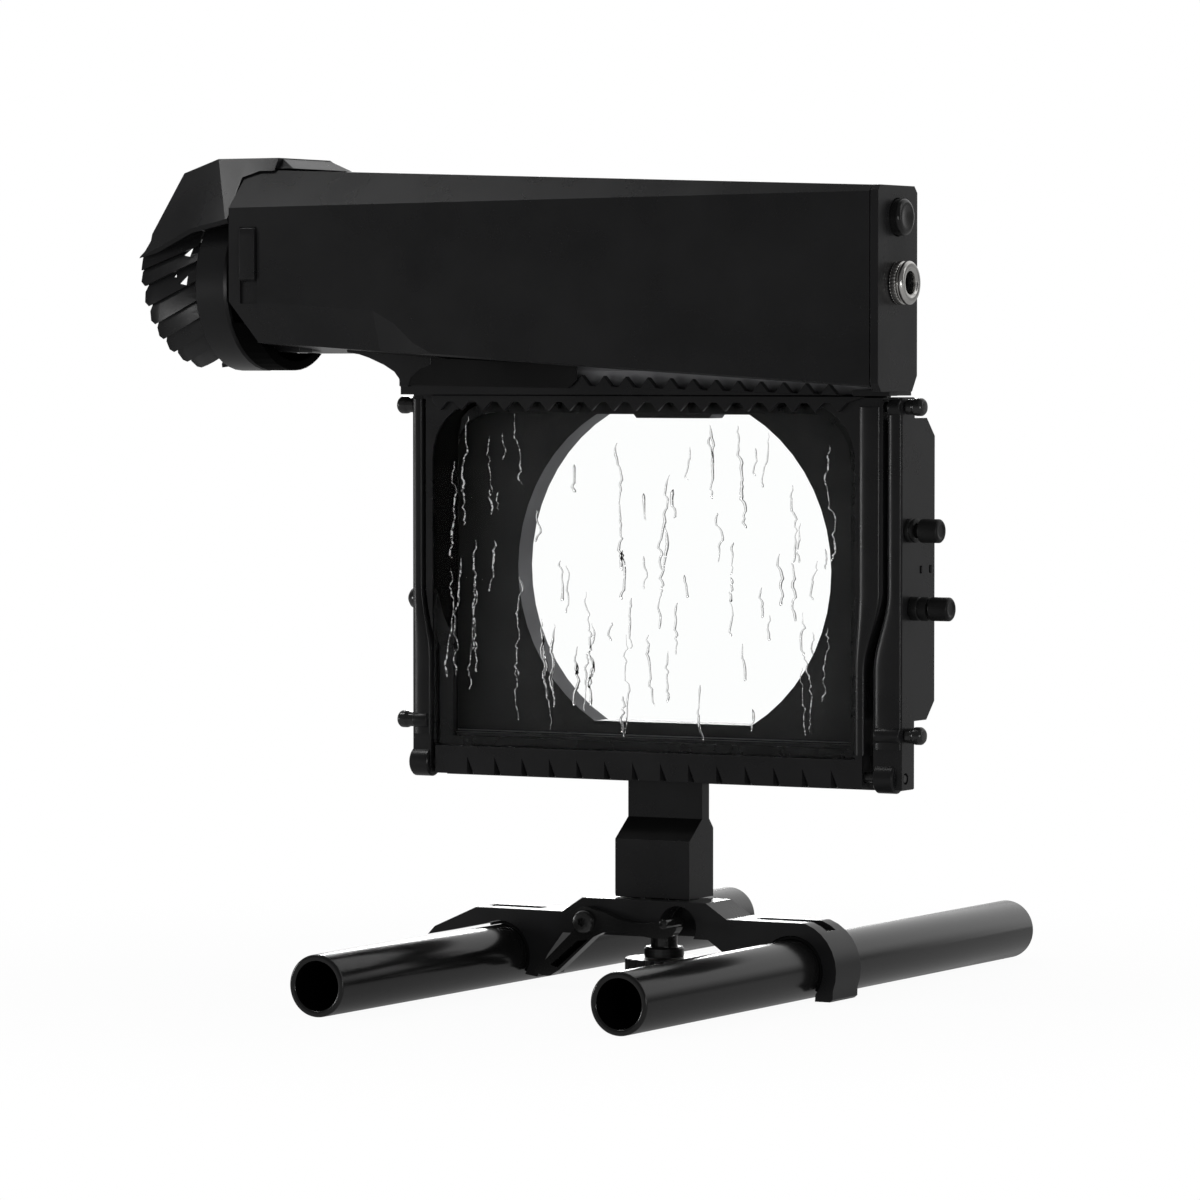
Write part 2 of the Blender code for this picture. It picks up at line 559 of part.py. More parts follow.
def build_control(carriage, mats):
    inner = BOX_X0 + BOX_WALL + GAP
    edge = arm_edge(1)
    arm = edge + [(HALF_W, FRAME_Z1), (HALF_W, FRAME_Z0 + 1.6)]
    housing = add("control_housing", prism(arm, "Y", FRAME_Y0, RIM_Y0 - GAP), mats["body"], carriage)
    chamfer = 5.6
    side = [(RIM_Y0 - 2.0, BOX_Z0), (RIM_Y0, BOX_Z0), (BACK_Y - chamfer, BOX_Z0), (BACK_Y, BOX_Z0 + chamfer)]
    side += [(BACK_Y, BOX_Z1 - chamfer), (BACK_Y - chamfer, BOX_Z1), (RIM_Y0, BOX_Z1), (RIM_Y0 - 2.0, BOX_Z1)]
    front_part = prism(side, "X", arm_edge(1)[-1][0] + 0.2, HALF_W)
    rear_side = [(max(y, RIM_Y0), z) for y, z in side if y >= RIM_Y0]
    rear_part = prism(rear_side, "X", inner, HALF_W - 1.0)
    boolean(housing, front_part, "UNION", "box")
    boolean(housing, rear_part, "UNION", "box")
    w = BOX_WALL
    hollow = block(inner - 1, HALF_W - w, RIM_Y0 + w, BACK_Y - w, BOX_Z0 + w + 4, BOX_Z1 - w - 4)
    boolean(housing, hollow, label="hollow")
    barrel = turned(rod_profile(7.0, BARREL_R, 0.5), (arm_edge(1)[0][0] + 0.4, HINGE_Y, HINGE_Z), "X", 24)
    boolean(housing, barrel, "UNION", "barrel")
    drill_arm(housing, 1)
    bore = KNOB_D / 2 - 0.9
    for y, z in ((BUTTON_Y, BUTTON_Z), (SPEED_Y, SPEED_Z)):
        boolean(housing, turned(rod_profile(5.0, bore + GAP, 0.1), (HALF_W - 3.6, y, z), "X", 20), label="knob")
    for y in (129.0, 135.6):
        boolean(housing, block(HALF_W - 3, HALF_W + 1, y - 0.8, y + 0.8, 122.8, 125.2), label="light")
    cover = [(RIM_Y0 + 0.2, BOX_Z0 + 1), (BACK_Y - chamfer, BOX_Z0 + 1), (BACK_Y - 0.4, BOX_Z0 + chamfer + 1)]
    cover += [(BACK_Y - 0.4, BOX_Z1 - chamfer - 1), (BACK_Y - chamfer, BOX_Z1 - 1), (RIM_Y0 + 0.2, BOX_Z1 - 1)]
    add("control_cover", prism(cover, "X", BOX_X0 + 0.2, inner - GAP), mats["body"], carriage)
    z0, z1 = BOX_Z0 + 12.0, BOX_Z1 - 12.0
    board = block(inner + 2.0, inner + 3.6, RIM_Y0 + w + 0.3, BACK_Y - w - 0.3, z0, z1)
    add("control_board", board, mats["board"], carriage)
    for name, y in (("light_window_front", 129.0), ("light_window_rear", 135.6)):
        add(name, block(HALF_W - 2.2, HALF_W + 0.2, y - 0.5, y + 0.5, 123.1, 124.9), mats["light"], carriage)
    for name, y, z, collar_end, tip, sides in (
        ("mode_button", BUTTON_Y, BUTTON_Z, 4.6, 11.1, 24),
        ("speed_knob", SPEED_Y, SPEED_Z, 6.2, 13.4, 24),
    ):
        axis = pivot(name + "_axis", (HALF_W, y, z), carriage)
        r = KNOB_D / 2
        collar = [(0.15, r - 1.4), (0.15, r), (collar_end, r), (collar_end, r - 1.4)]
        add(name + "_collar", turned(collar, (HALF_W, y, z), "X", sides), mats["steel_dark"], carriage, True)
        start = collar_end + 1.6 if name == "mode_button" else collar_end + 0.5
        shaft = 1.9
        root = -1.8 if name == "mode_button" else -3.2
        knob = [(root, 0), (root, shaft), (start, shaft), (start, r), (tip - 0.5, r), (tip, r - 0.5), (tip, 0)]
        add(name, turned(knob, (HALF_W, y, z), "X", sides), mats["body"], axis, True)


def smooth(share):
    """An S-curve from 0 to 1."""
    share = min(max(share, 0.0), 1.0)
    return 3 * share ** 2 - 2 * share ** 3


def duct_station(x, inset=0.0):
    """Outline (y, z) of the duct at x, the same eight corners all along; inset gives the inner wall."""
    share = (x - DUCT_X0) / (DUCT_X1 - DUCT_X0)
    fade = 1 - smooth((x + 92.0) / 22.0)
    top_front = 237.4 + 2.4 * share
    ridge = 250.0 - 8.3 * share
    bottom = 194.6 - 14.4 * share
    rear = FAN_Y + FAN_R - 29.0 * share
    foot = rear_foot(x)
    chamfer = fade * 12.4
    depth = fade * 4.0
    corners = [
        (DUCT_Y0, bottom + chamfer + 0.6), (DUCT_Y0, top_front), (DUCT_Y0 + ridge - top_front, ridge),
        (rear - 6.0, ridge - 0.6), (rear, ridge - 7.0), (rear, foot + 6.0), (rear - 5.0, foot),
        (DUCT_Y0 + depth + 0.8, bottom),
    ]
    if not inset:
        return corners
    cy = sum(p[0] for p in corners) / 8
    cz = sum(p[1] for p in corners) / 8
    half_y = (max(p[0] for p in corners) - min(p[0] for p in corners)) / 2
    half_z = (max(p[1] for p in corners) - min(p[1] for p in corners)) / 2
    ky, kz = 1 - inset / half_y, 1 - inset / half_z
    return [(cy + (y - cy) * ky, cz + (z - cz) * kz) for y, z in corners]


def rear_foot(x):
    """Height of the duct's rear underside: high over the free left end, down on the nozzle rail."""
    high, low = 190.6, rail_top(x) + GAP
    return high + (low - high) * smooth((x + 122.0) / 32.0)


def rail_top(x):
    return 186.0 - 4.5 * (x + HALF_W) / FRAME_W


def loft(stations, outline):
    """A closed solid through the outlines at the given x values."""
    bm = bmesh.new()
    rings = [[bm.verts.new((x, y, z)) for y, z in outline(x)] for x in stations]
    count = len(rings[0])
    for a, b in zip(rings, rings[1:]):
        for i in range(count):
            j = (i + 1) % count
            bm.faces.new((a[i], b[i], b[j]))
            bm.faces.new((a[i], b[j], a[j]))
    bm.faces.new(rings[0])
    bm.faces.new(rings[-1][::-1])
    return bm


def build_duct(carriage, mats):
    stations = [DUCT_X0, -134.0, -122.0, -115.0, -107.0, -99.0, -92.0, -84.0, -77.0, -70.0, 0.0, DUCT_X1]
    longer = [DUCT_X0 - 2] + stations[1:-1] + [DUCT_X1 + 2]
    far = 400.0
    air_slot = block(-72.0, 78.0, DUCT_Y0 + DUCT_WALL, 125.0, 150.0, 200.0)
    front = add("duct_front_shell", loft(stations, duct_station), mats["body"], carriage)
    boolean(front, block(-far, far, SHELL_SPLIT, far, 0, far), label="split")
    boolean(front, loft(longer, lambda x: duct_station(x, DUCT_WALL)), label="inside")
    boolean(front, air_slot, label="air")
    boolean(front, corner_cut(0.0), label="corner")
    rear = add("duct_rear_shell", loft(stations, duct_station), mats["body"], carriage)
    boolean(rear, block(-far, far, -far, SHELL_SPLIT + GAP, 0, far), label="split")
    boolean(rear, loft(longer, lambda x: duct_station(x, DUCT_WALL)), label="inside")
    boolean(rear, block(-72.0, 78.0, 100.0, 119.0, 150.0, 200.0), label="air")
    x0, x1 = -HALF_W - 6.0, HALF_W + 6.0
    seat = [(x0, 170.0), (x1, 170.0), (x1, rail_top(x1) + GAP), (x0, rail_top(x0) + GAP)]
    boolean(rear, prism(seat, "Y", 118.7, BACK_Y + 2), label="rail")
    recess = block(-141.8, -135.4, DUCT_Y0 - 1, DUCT_Y0 + 0.8, 206.6, 231.2)
    boolean(front, recess, label="latch")
    latch_axis = pivot("latch_axis", (-138.6, DUCT_Y0, 221.8), carriage)
    latch_side = [(DUCT_Y0 + 0.5, 213.4), (DUCT_Y0 - 1.2, 214.6), (DUCT_Y0 - 2.4, 228.4)]
    latch_side += [(DUCT_Y0 - 0.6, 230.9), (DUCT_Y0 + 0.5, 230.9)]
    add("intake_latch", prism(latch_side, "X", -141.5, -135.7), mats["body"], latch_axis)

    end = duct_station(DUCT_X1)
    low, high = end[7][1], end[2][1]
    depth = end[4][0]
    cap_line = [(DUCT_Y0, low + 1.0), (DUCT_Y0, high - 1.6), (DUCT_Y0 + 1.6, high), (depth - 2, high)]
    cap_line += [(depth, high - 2), (depth, low + 3.5), (depth - 3.5, low - 1.4), (DUCT_Y0 + 2.4, low - 1.4)]
    cap = add("end_cap", prism(cap_line, "X", DUCT_X1 + GAP, DUCT_X1 + CAP_T), mats["body"], carriage)
    y = (DUCT_Y0 + depth) / 2
    face = DUCT_X1 + CAP_T
    boolean(cap, turned(rod_profile(9, POWER_D / 2 + GAP, 0.1), (face - 5, y, POWER_Z), "X", 28), label="power")
    boolean(cap, turned(rod_profile(9, SOCKET_D / 2 - 1.4, 0.1), (face - 5, y, SOCKET_Z), "X", 28), label="socket")
    power_axis = pivot("power_axis", (face, y, POWER_Z), carriage)
    r = POWER_D / 2
    button = [(-5.0, 0), (-5.0, r + 1.2), (-3.6, r + 1.2), (-3.6, r), (2.6, r), (3.3, r - 0.8), (3.3, 0)]
    add("power_button", turned(button, (face, y, POWER_Z), "X", 28), mats["gloss"], power_axis, True)
    r = SOCKET_D / 2
    bore = r - 3.1
    shell = [(-6.0, bore), (-6.0, r - 1.7), (0.15, r - 1.7), (0.15, r), (2.6, r), (2.6, r - 0.7), (3.0, r - 0.7)]
    shell += [(3.0, r), (4.2, r), (4.8, r - 0.6), (4.8, bore)]
    add("socket_shell", turned(shell, (face, y, SOCKET_Z), "X", 32), mats["chrome"], carriage, True)
    insert = [(-5.0, 0), (-5.0, bore - GAP), (2.6, bore - GAP), (2.6, 0)]
    add("socket_insert", turned(insert, (face, y, SOCKET_Z), "X", 20), mats["rubber"], carriage, True)
    nut = [(-5.6, r - 1.4), (-5.6, r + 1.4), (-3.4, r + 1.4), (-3.4, r - 1.4)]
    add("socket_nut", turned(nut, (face, y, SOCKET_Z), "X", 6 * 4), mats["steel"], carriage)


def corner_cut(margin):
    """What is left of the slanted line at the duct's lower left corner, where the fan's collar shows."""
    run, rise = CORNER_CUT
    foot = 194.6
    line = [(DUCT_X0 - 3, foot - 20), (DUCT_X0 - 3, foot + rise + margin), (DUCT_X0 - margin, foot + rise + margin)]
    line += [(DUCT_X0 + run - margin, foot + margin), (DUCT_X0 + run - margin, foot - 20)]
    return prism(line, "Y", DUCT_Y0 - 5, DUCT_Y0 + 9)


def build_nozzle(carriage, mats):
    x0, x1 = -HALF_W - 2.8, HALF_W - 0.2
    base = FRAME_Z1 + 0.6
    points = [(x0, base), (x1, base), (x1, rail_top(x1) - 3.4), (x1 - 4, rail_top(x1) - 3.4)]
    points += [(x1 - 4, rail_top(x1)), (x0, rail_top(x0))]
    rail = add("nozzle_rail", prism(points, "Y", 119.0, BACK_Y), mats["body"], carriage)
    lip = block(4.6 - HALF_W, arm_edge(1)[-1][0] - 0.4, DOOR_Y1 + 0.4, RIM_Y0 - 0.3, 176.1, base + 1)
    boolean(rail, lip, "UNION", "lip")
    boolean(rail, turned(rod_profile(40, 1.6, 0.1), (-80.0, 100, base + 4.0), "Y", 12), label="screw")
    vane = [(118.7, base + 0.4), (117.4, base + 0.4), (115.6, base + 7.6), (116.4, base + 10.6), (118.7, base + 7.6)]
    add("air_vane", prism(vane, "X", -70.0, 77.0), mats["satin"], carriage)
    edge0, edge1 = 182.6, 177.9
    front = comb(x0, 72.0, (base, base, edge0, edge1), (edge0 + 3.4, edge1 + 3.2), TOOTH_PITCH, 113.0, 115.2)
    upper = add("upper_comb", front, mats["body"], carriage)
    tail = block(72.0 - 0.5, DUCT_X1, 113.0, 115.2, base, base + 2.0)
    boolean(upper, tail, "UNION", "tail")
    for low, high, tall in ((x0, x0 + 12.0, 4.6), (78.5, DUCT_X1, 2.0)):
        boolean(upper, block(low, high, 113.0, 118.7, base, base + tall), "UNION", "foot")


def fin(front, number):
    """One swept scale of the intake, from under the scale above to its own rounded tip at the lower left."""
    root_x = RING_X0 + 1.4
    tip_x, tip_angle = FIN_TIP_XS[number], FIN_TIP_ANGLES[number]
    above_x = FIN_TIP_XS[number - 1] if number else FIN_TIP_X
    above_angle = FIN_TIP_ANGLES[number - 1] if number else VISOR_ANGLE
    corner_x = above_x + 2.2
    bm = bmesh.new()
    shares, rows = (0.0, 0.3, 0.6, 0.84, 0.94, 1.0), 2
    steps = len(shares) - 1
    grid = []
    for i, share in enumerate(shares):
        low_x = root_x + (tip_x - root_x) * share
        high_x = root_x + (corner_x - root_x) * share
        low = tip_angle - FIN_RISE * (1 - share) - 4.0 * (share == 1.0)
        along_above = (high_x - root_x) / (above_x - root_x)
        high = above_angle - FIN_RISE * (1 - along_above) - 1.5
        column = []
        for j in range(rows + 1):
            t = j / rows
            bulge = 0.7 * (share == 1.0) * (j == 1)
            angle = math.radians(high + (low - high) * t)
            column.append((high_x + (low_x - high_x) * t - bulge, angle, FAN_R - 2.0 + 1.7 * t))
        grid.append(column)

    def vert(x, angle, r):
        side = -1 if front else 1
        return bm.verts.new((x, FAN_Y + side * r * math.cos(angle), FAN_Z - r * math.sin(angle)))

    outer = [[vert(*p) for p in column] for column in grid]
    inner = [[vert(p[0], p[1], p[2] - 1.1) for p in column] for column in grid]
    for skin in (outer, inner):
        for i in range(steps):
            for j in range(rows):
                bm.faces.new((skin[i][j], skin[i + 1][j], skin[i + 1][j + 1], skin[i][j + 1]))
    for i in range(steps):
        bm.faces.new((outer[i][0], outer[i + 1][0], inner[i + 1][0], inner[i][0]))
        bm.faces.new((outer[i][rows], outer[i + 1][rows], inner[i + 1][rows], inner[i][rows]))
    for j in range(rows):
        bm.faces.new((outer[0][j], outer[0][j + 1], inner[0][j + 1], inner[0][j]))
        bm.faces.new((outer[steps][j], outer[steps][j + 1], inner[steps][j + 1], inner[steps][j]))
    bmesh.ops.recalc_face_normals(bm, faces=bm.faces)
    return bm


def build_fan(carriage, mats):
    centre = (0, FAN_Y, FAN_Z)
    intake = pivot("intake_axis", centre, carriage)
    ring = tube_profile(RING_X0, RING_X1, FAN_R - RING_WALL, FAN_R, 0.8)
    grille = add("intake_grille", turned(ring, centre, "X", 40), mats["body"], intake, True)
    for front in (True, False):
        for number in range(len(FIN_TIP_XS)):
            boolean(grille, fin(front, number), "UNION", "fin")
    for low, top in ((221.8, 225.8), (212.6, 216.4)):
        window = [(-165.8, low + 0.6), (-162.4, top), (-162.4, low)]
        boolean(grille, prism(window, "Y", FAN_Y - 40, FAN_Y + 40), label="window")
        small = [(-168.6, top - 1.0), (-167.4, top + 0.6), (-167.0, top - 1.2)]
        boolean(grille, prism(small, "Y", FAN_Y - 40, FAN_Y + 40), label="window")
    build_hood(intake, mats)
    guard_x0, guard_x1 = -158.3, -156.8
    guard = turned(tube_profile(guard_x0, guard_x1, THROAT_R + 0.2, THROAT_R + 1.8, 0.3), centre, "X", 32)
    guard = add("fan_guard", guard, mats["steel_dark"], carriage)
    boolean(guard, turned(tube_profile(guard_x0, guard_x1, 11.0, 12.6, 0.3), centre, "X", 24), "UNION", "ring")
    bars = []
    for turn in range(4, 364, 60):
        bar = block(guard_x0 + 0.1, guard_x1 - 0.1, FAN_Y + 12.0, FAN_Y + THROAT_R + 0.8, FAN_Z - 0.7, FAN_Z + 0.7)
        matrix = Matrix.Rotation(math.radians(turn), 3, "X")
        bmesh.ops.rotate(bar, cent=centre, matrix=matrix, verts=bar.verts)
        bars.append(bar)
    boolean(guard, merge(*bars), "UNION", "bars")

    inside = duct_station(DUCT_X0 + 3.4, DUCT_WALL + 3 * GAP)
    bulkhead = add("fan_bulkhead", prism(inside, "X", DUCT_X0 + 0.4, DUCT_X0 + 3.4), mats["body"], carriage)
    throat = tube_profile(-156.4, DUCT_X0 - GAP, THROAT_R, THROAT_R + THROAT_WALL, 0.4)
    add("fan_throat", turned(throat, centre, "X", 32), mats["body"], carriage, True)
    bore = turned(rod_profile(30, INLET_R, 0.1), (DUCT_X0 - 15, FAN_Y, FAN_Z), "X", 32)
    boolean(bulkhead, bore, label="bore")
    boolean(bulkhead, corner_cut(GAP), label="corner")
    build_collar(carriage, mats)
    seat = turned(tube_profile(0.7, 2.8, 2.4, 9.0, 0.2), (DUCT_X0, FAN_Y, FAN_Z), "X", 24)
    bars = []
    for turn in range(36, 396, 60):
        bar = block(DUCT_X0 + 1.0, DUCT_X0 + 2.5, FAN_Y + 7.0, FAN_Y + INLET_R + 1.0, FAN_Z - 1.2, FAN_Z + 1.2)
        matrix = Matrix.Rotation(math.radians(turn), 3, "X")
        bmesh.ops.rotate(bar, cent=centre, matrix=matrix, verts=bar.verts)
        bars.append(bar)
    boolean(bulkhead, merge(*bars), "UNION", "spokes")
    boolean(bulkhead, seat, "UNION", "seat")
    motor = turned(rod_profile(20.0, 10.5, 0.8), (DUCT_X0 + 3.7, FAN_Y, FAN_Z), "X", 32)
    motor = add("fan_motor", motor, mats["steel"], carriage, True)
    boolean(motor, turned(rod_profile(12.0, 1.8, 0.1), (DUCT_X0 + 1.0, FAN_Y, FAN_Z), "X", 16), label="bore")

    spin = pivot("fan_axis", (-151.5, FAN_Y, FAN_Z), carriage)
    shaft = turned(rod_profile(22.0, 1.5), (-155.5, FAN_Y, FAN_Z), "X", 16)
    add("fan_shaft", shaft, mats["steel"], spin, True)
    hub = turned(rod_profile(7.0, 8.0, 1.0), (-155.8, FAN_Y, FAN_Z), "X", 32)
    impeller = add("impeller", hub, mats["body"], spin, True)
    for i in range(BLADES):
        blade = block(-155.2, -149.4, FAN_Y + 7.0, FAN_Y + THROAT_R - 0.8, FAN_Z - 0.5, FAN_Z + 0.5)
        tilt = Matrix.Rotation(math.radians(38), 3, "Y")
        bmesh.ops.rotate(blade, cent=(-152.3, FAN_Y, FAN_Z), matrix=tilt, verts=blade.verts)
        turn = Matrix.Rotation(2 * math.pi * i / BLADES, 3, "X")
        bmesh.ops.rotate(blade, cent=centre, matrix=turn, verts=blade.verts)
        boolean(impeller, blade, "UNION", "blade")
    boolean(impeller, turned(rod_profile(12, 1.8, 0.1), (-158.0, FAN_Y, FAN_Z), "X", 16), label="bore")


def build_collar(carriage, mats):
    """The lower part of the fan's collar, which shows under the duct's cut corner."""
    x0, x1 = RING_X1 + GAP, DUCT_X0 + CORNER_CUT[0]
    tube = tube_profile(x0, x1, FAN_R - 3.0, FAN_R - 0.1, 0.4)
    collar = add("fan_collar", turned(tube, (0, FAN_Y, FAN_Z), "X", 48), mats["body"], carriage, True)
    bottom, rear = 194.0, FAN_Y + FAN_R
    duct = [(DUCT_Y0 - 2.0, bottom + 12.6), (DUCT_Y0 + 9.6, bottom - 1.2), (rear - 4.6, 190.0), (rear + 0.6, 196.0)]
    duct += [(rear + 3.0, 260.0), (DUCT_Y0 - 2.0, 260.0)]
    boolean(collar, prism(duct, "X", x0 - 1, x1 + 1), label="duct")
    run, rise = CORNER_CUT
    near = DUCT_X0 - 2 * GAP
    line = [(near, bottom + rise), (near + run, bottom), (near + run, bottom - 1.2)]
    line += [(x1 + 5, bottom - 1.2), (x1 + 5, bottom + 30), (near, bottom + 30)]
    boolean(collar, prism(line, "Y", DUCT_Y0 - 5, DUCT_Y0 + 9.3), label="wall")


def build_hood(intake, mats):
    """The faceted cowl over the intake: flat top, slanted front, drawn out to a visor at the left."""
    lip = 1.4
    # Four sections, each front side, front top, rear top and rear side as (x, y, z)
    sections = (
        ((-135.5, 98.9, 236.6), (-135.5, 112.5, HOOD_TOP), (-135.5, 144.3, HOOD_TOP), (-135.5, 156.6, 249.6)),
        ((-147.3, 98.9, 233.8), (-147.3, 112.5, HOOD_TOP), (-147.3, 144.3, HOOD_TOP), (-147.3, 156.6, 246.0)),
        ((-161.0, 99.5, 230.9), (-158.4, 112.5, HOOD_TOP), (-158.4, 142.0, HOOD_TOP), (-161.0, 154.8, 230.9)),
        ((FIN_TIP_X, 100.0, 221.6), (-172.8, 114.2, 249.3), (-172.8, 140.2, 249.3), (FIN_TIP_X, 154.0, 221.6)),
    )
    bm = bmesh.new()
    rings = []
    for front, front_top, rear_top, rear in sections:
        rear_low = (rear[0], rear[1] - 0.8, min(rear[2], 236.0) - lip)
        front_low = (front[0], front[1] + 0.8, front[2] - lip)
        rings.append([bm.verts.new(p) for p in (front, front_top, rear_top, rear, rear_low, front_low)])
    count = len(rings[0])
    for a, b in zip(rings, rings[1:]):
        for i in range(count):
            j = (i + 1) % count
            bm.faces.new((a[i], b[i], b[j]))
            bm.faces.new((a[i], b[j], a[j]))
    bm.faces.new(rings[0])
    bm.faces.new(rings[-1][::-1])
    hood = add("intake_hood", bm, mats["body"], intake)
    bore = turned(rod_profile(50.0, FAN_R + GAP, 0.1), (-194.0, FAN_Y, FAN_Z), "X", 48)
    boolean(hood, bore, label="ring")
    duct = duct_station(DUCT_X0, -2 * GAP)
    duct = [(y - 3 * (z < 236.0 and y < 110.0), z) for y, z in duct]
    boolean(hood, prism(duct, "X", DUCT_X0 - 2 * GAP, DUCT_X0 + 30.0), label="duct")


def stand_on_origin(root):
    """Moves the root so that the world origin is under the middle of the model's box."""
    bpy.context.view_layer.update()
    graph = bpy.context.evaluated_depsgraph_get()
    low, high = Vector((1e9,) * 3), Vector((-1e9,) * 3)
    for obj in bpy.data.objects:
        if obj.type != "MESH" or obj.hide_render:
            continue
        shown = obj.evaluated_get(graph)
        for corner in shown.bound_box:
            world = obj.matrix_world @ Vector(corner)
            low = Vector(map(min, low, world))
            high = Vector(map(max, high, world))
    root.location = (-(low.x + high.x) / 2, -(low.y + high.y) / 2, -low.z)
    print("origin shift mm", [round(v / MM, 4) for v in root.location])


def main():
    clear_scene()
    black = (0.012, 0.012, 0.013)
    mats = {
        "body": material("black_body", black, 0.42, 0.4),
        "gloss": material("black_gloss", black, 0.22),
        "rod": material("black_rod", (0.008, 0.008, 0.009), 0.18, 0.8),
        "rubber": material("black_rubber", (0.015, 0.015, 0.015), 0.8),
        "steel": material("steel", (0.45, 0.45, 0.46), 0.35, 1.0),
        "steel_dark": material("blackened_steel", (0.03, 0.03, 0.032), 0.3, 0.9),
        "chrome": material("chrome", (0.8, 0.8, 0.8), 0.12, 1.0),
        "satin": material("satin_metal", (0.35, 0.35, 0.36), 0.4, 1.0),
        "board": material("circuit_board", (0.02, 0.09, 0.04), 0.5),
        "light": material("light_window", (0.02, 0.02, 0.02), 0.1),
        "glass": material("clear_glass", (0.9, 0.93, 0.93), 0.02, 0.0, 0.25),
    }
    root = pivot("stand", (0.0, 0.0, 0.0))
    build_rods(root, mats)
    carriage = pivot("carriage_axis", (0.0, CLAMP_Y0 + CLAMP_DEPTH / 2, 0.0), root)
    build_clamp(carriage, mats)
    build_riser(carriage, mats)
    build_rear_housing(carriage, mats)
    build_door(carriage, mats)
    build_pins(carriage, mats)
    build_control(carriage, mats)
    build_duct(carriage, mats)
    build_nozzle(carriage, mats)
    build_fan(carriage, mats)
    stand_on_origin(root)


main()
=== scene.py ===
"""Looks of the camera rain deflector: finishes, rounded edges, fine parts, water, studio and camera.

Lengths are millimetres in the design frame of the CAD source: X right, Y away, Z up, Z = 0 on the rods' axes.
place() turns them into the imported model's metres.
"""

import json
import math
import random

import bmesh
import bpy
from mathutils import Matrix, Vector

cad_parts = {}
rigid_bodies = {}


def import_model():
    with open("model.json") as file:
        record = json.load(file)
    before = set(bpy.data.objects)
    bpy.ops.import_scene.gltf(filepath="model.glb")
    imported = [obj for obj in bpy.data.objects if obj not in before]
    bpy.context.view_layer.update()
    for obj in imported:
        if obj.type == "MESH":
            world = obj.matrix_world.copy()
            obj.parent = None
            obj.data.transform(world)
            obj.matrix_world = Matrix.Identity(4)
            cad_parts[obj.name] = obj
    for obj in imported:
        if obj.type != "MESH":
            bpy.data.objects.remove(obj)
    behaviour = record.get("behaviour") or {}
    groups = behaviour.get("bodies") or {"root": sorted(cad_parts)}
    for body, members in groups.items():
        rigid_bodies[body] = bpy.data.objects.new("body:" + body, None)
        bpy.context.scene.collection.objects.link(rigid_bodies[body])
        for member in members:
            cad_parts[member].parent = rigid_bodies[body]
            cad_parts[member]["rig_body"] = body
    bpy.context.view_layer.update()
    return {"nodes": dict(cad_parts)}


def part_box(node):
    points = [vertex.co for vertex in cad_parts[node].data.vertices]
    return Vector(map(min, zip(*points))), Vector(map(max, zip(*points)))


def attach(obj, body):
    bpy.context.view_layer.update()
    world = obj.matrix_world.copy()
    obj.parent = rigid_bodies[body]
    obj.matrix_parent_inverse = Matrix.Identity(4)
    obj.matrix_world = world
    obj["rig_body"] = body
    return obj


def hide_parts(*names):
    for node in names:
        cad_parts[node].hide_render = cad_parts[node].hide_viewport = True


MM = 0.001
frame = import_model()

# The design frame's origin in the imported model, found from the left rod, whose axis is at X = -52, Z = 0
ROD_SPACING = 104.0
rod_low, rod_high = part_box("rod_left")
rod_x, rod_z = (rod_low.x + rod_high.x) / 2, (rod_low.z + rod_high.z) / 2
ORIGIN = Vector((rod_x + ROD_SPACING / 2 * MM, rod_low.y, rod_z))

ROD_R = 9.5
ROD_WALL = 2.0
ROD_LENGTH = 267.0
# A face this close to the bore counts as its wall
BORE_SLACK = 0.05


def place(x, y, z):
    """A design-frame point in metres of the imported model."""
    return ORIGIN + Vector((x, y, z)) * MM


def to_design(x, y, z):
    """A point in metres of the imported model, in the design frame's millimetres."""
    return (Vector((x, y, z)) - ORIGIN) / MM


# Materials

# The band in which a noise texture's values mostly lie
NOISE_LOW = 0.3
NOISE_HIGH = 0.7
BROAD_DETAIL = 6.0
FINE_DETAIL = 3.0
BUMP_HEIGHT = 0.00005
# How far a finish's colour strays from its mean
COLOUR_SPREAD = 0.25


def principled(name):
    mat = bpy.data.materials.new(name)
    mat.use_nodes = True
    return mat, mat.node_tree.nodes["Principled BSDF"]


def noise_texture(nodes, links, vector, scale, detail=2.0):
    noise = nodes.new("ShaderNodeTexNoise")
    noise.inputs["Scale"].default_value = scale
    noise.inputs["Detail"].default_value = detail
    links.new(vector, noise.inputs["Vector"])
    return noise


def map_range(nodes, links, value, start, end, low, high):
    """Carries values between start and end over to low and high."""
    node = nodes.new("ShaderNodeMapRange")
    for socket, number in (("From Min", start), ("From Max", end), ("To Min", low), ("To Max", high)):
        node.inputs[socket].default_value = number
    links.new(value, node.inputs["Value"])
    return node


def two_stops(nodes, links, value, stops):
    """A ramp between two colours; each stop is a position and a colour."""
    ramp = nodes.new("ShaderNodeValToRGB")
    for element, (position, colour) in zip(ramp.color_ramp.elements, stops):
        element.position = position
        element.color = (*colour, 1)
    links.new(value, ramp.inputs["Fac"])
    return ramp


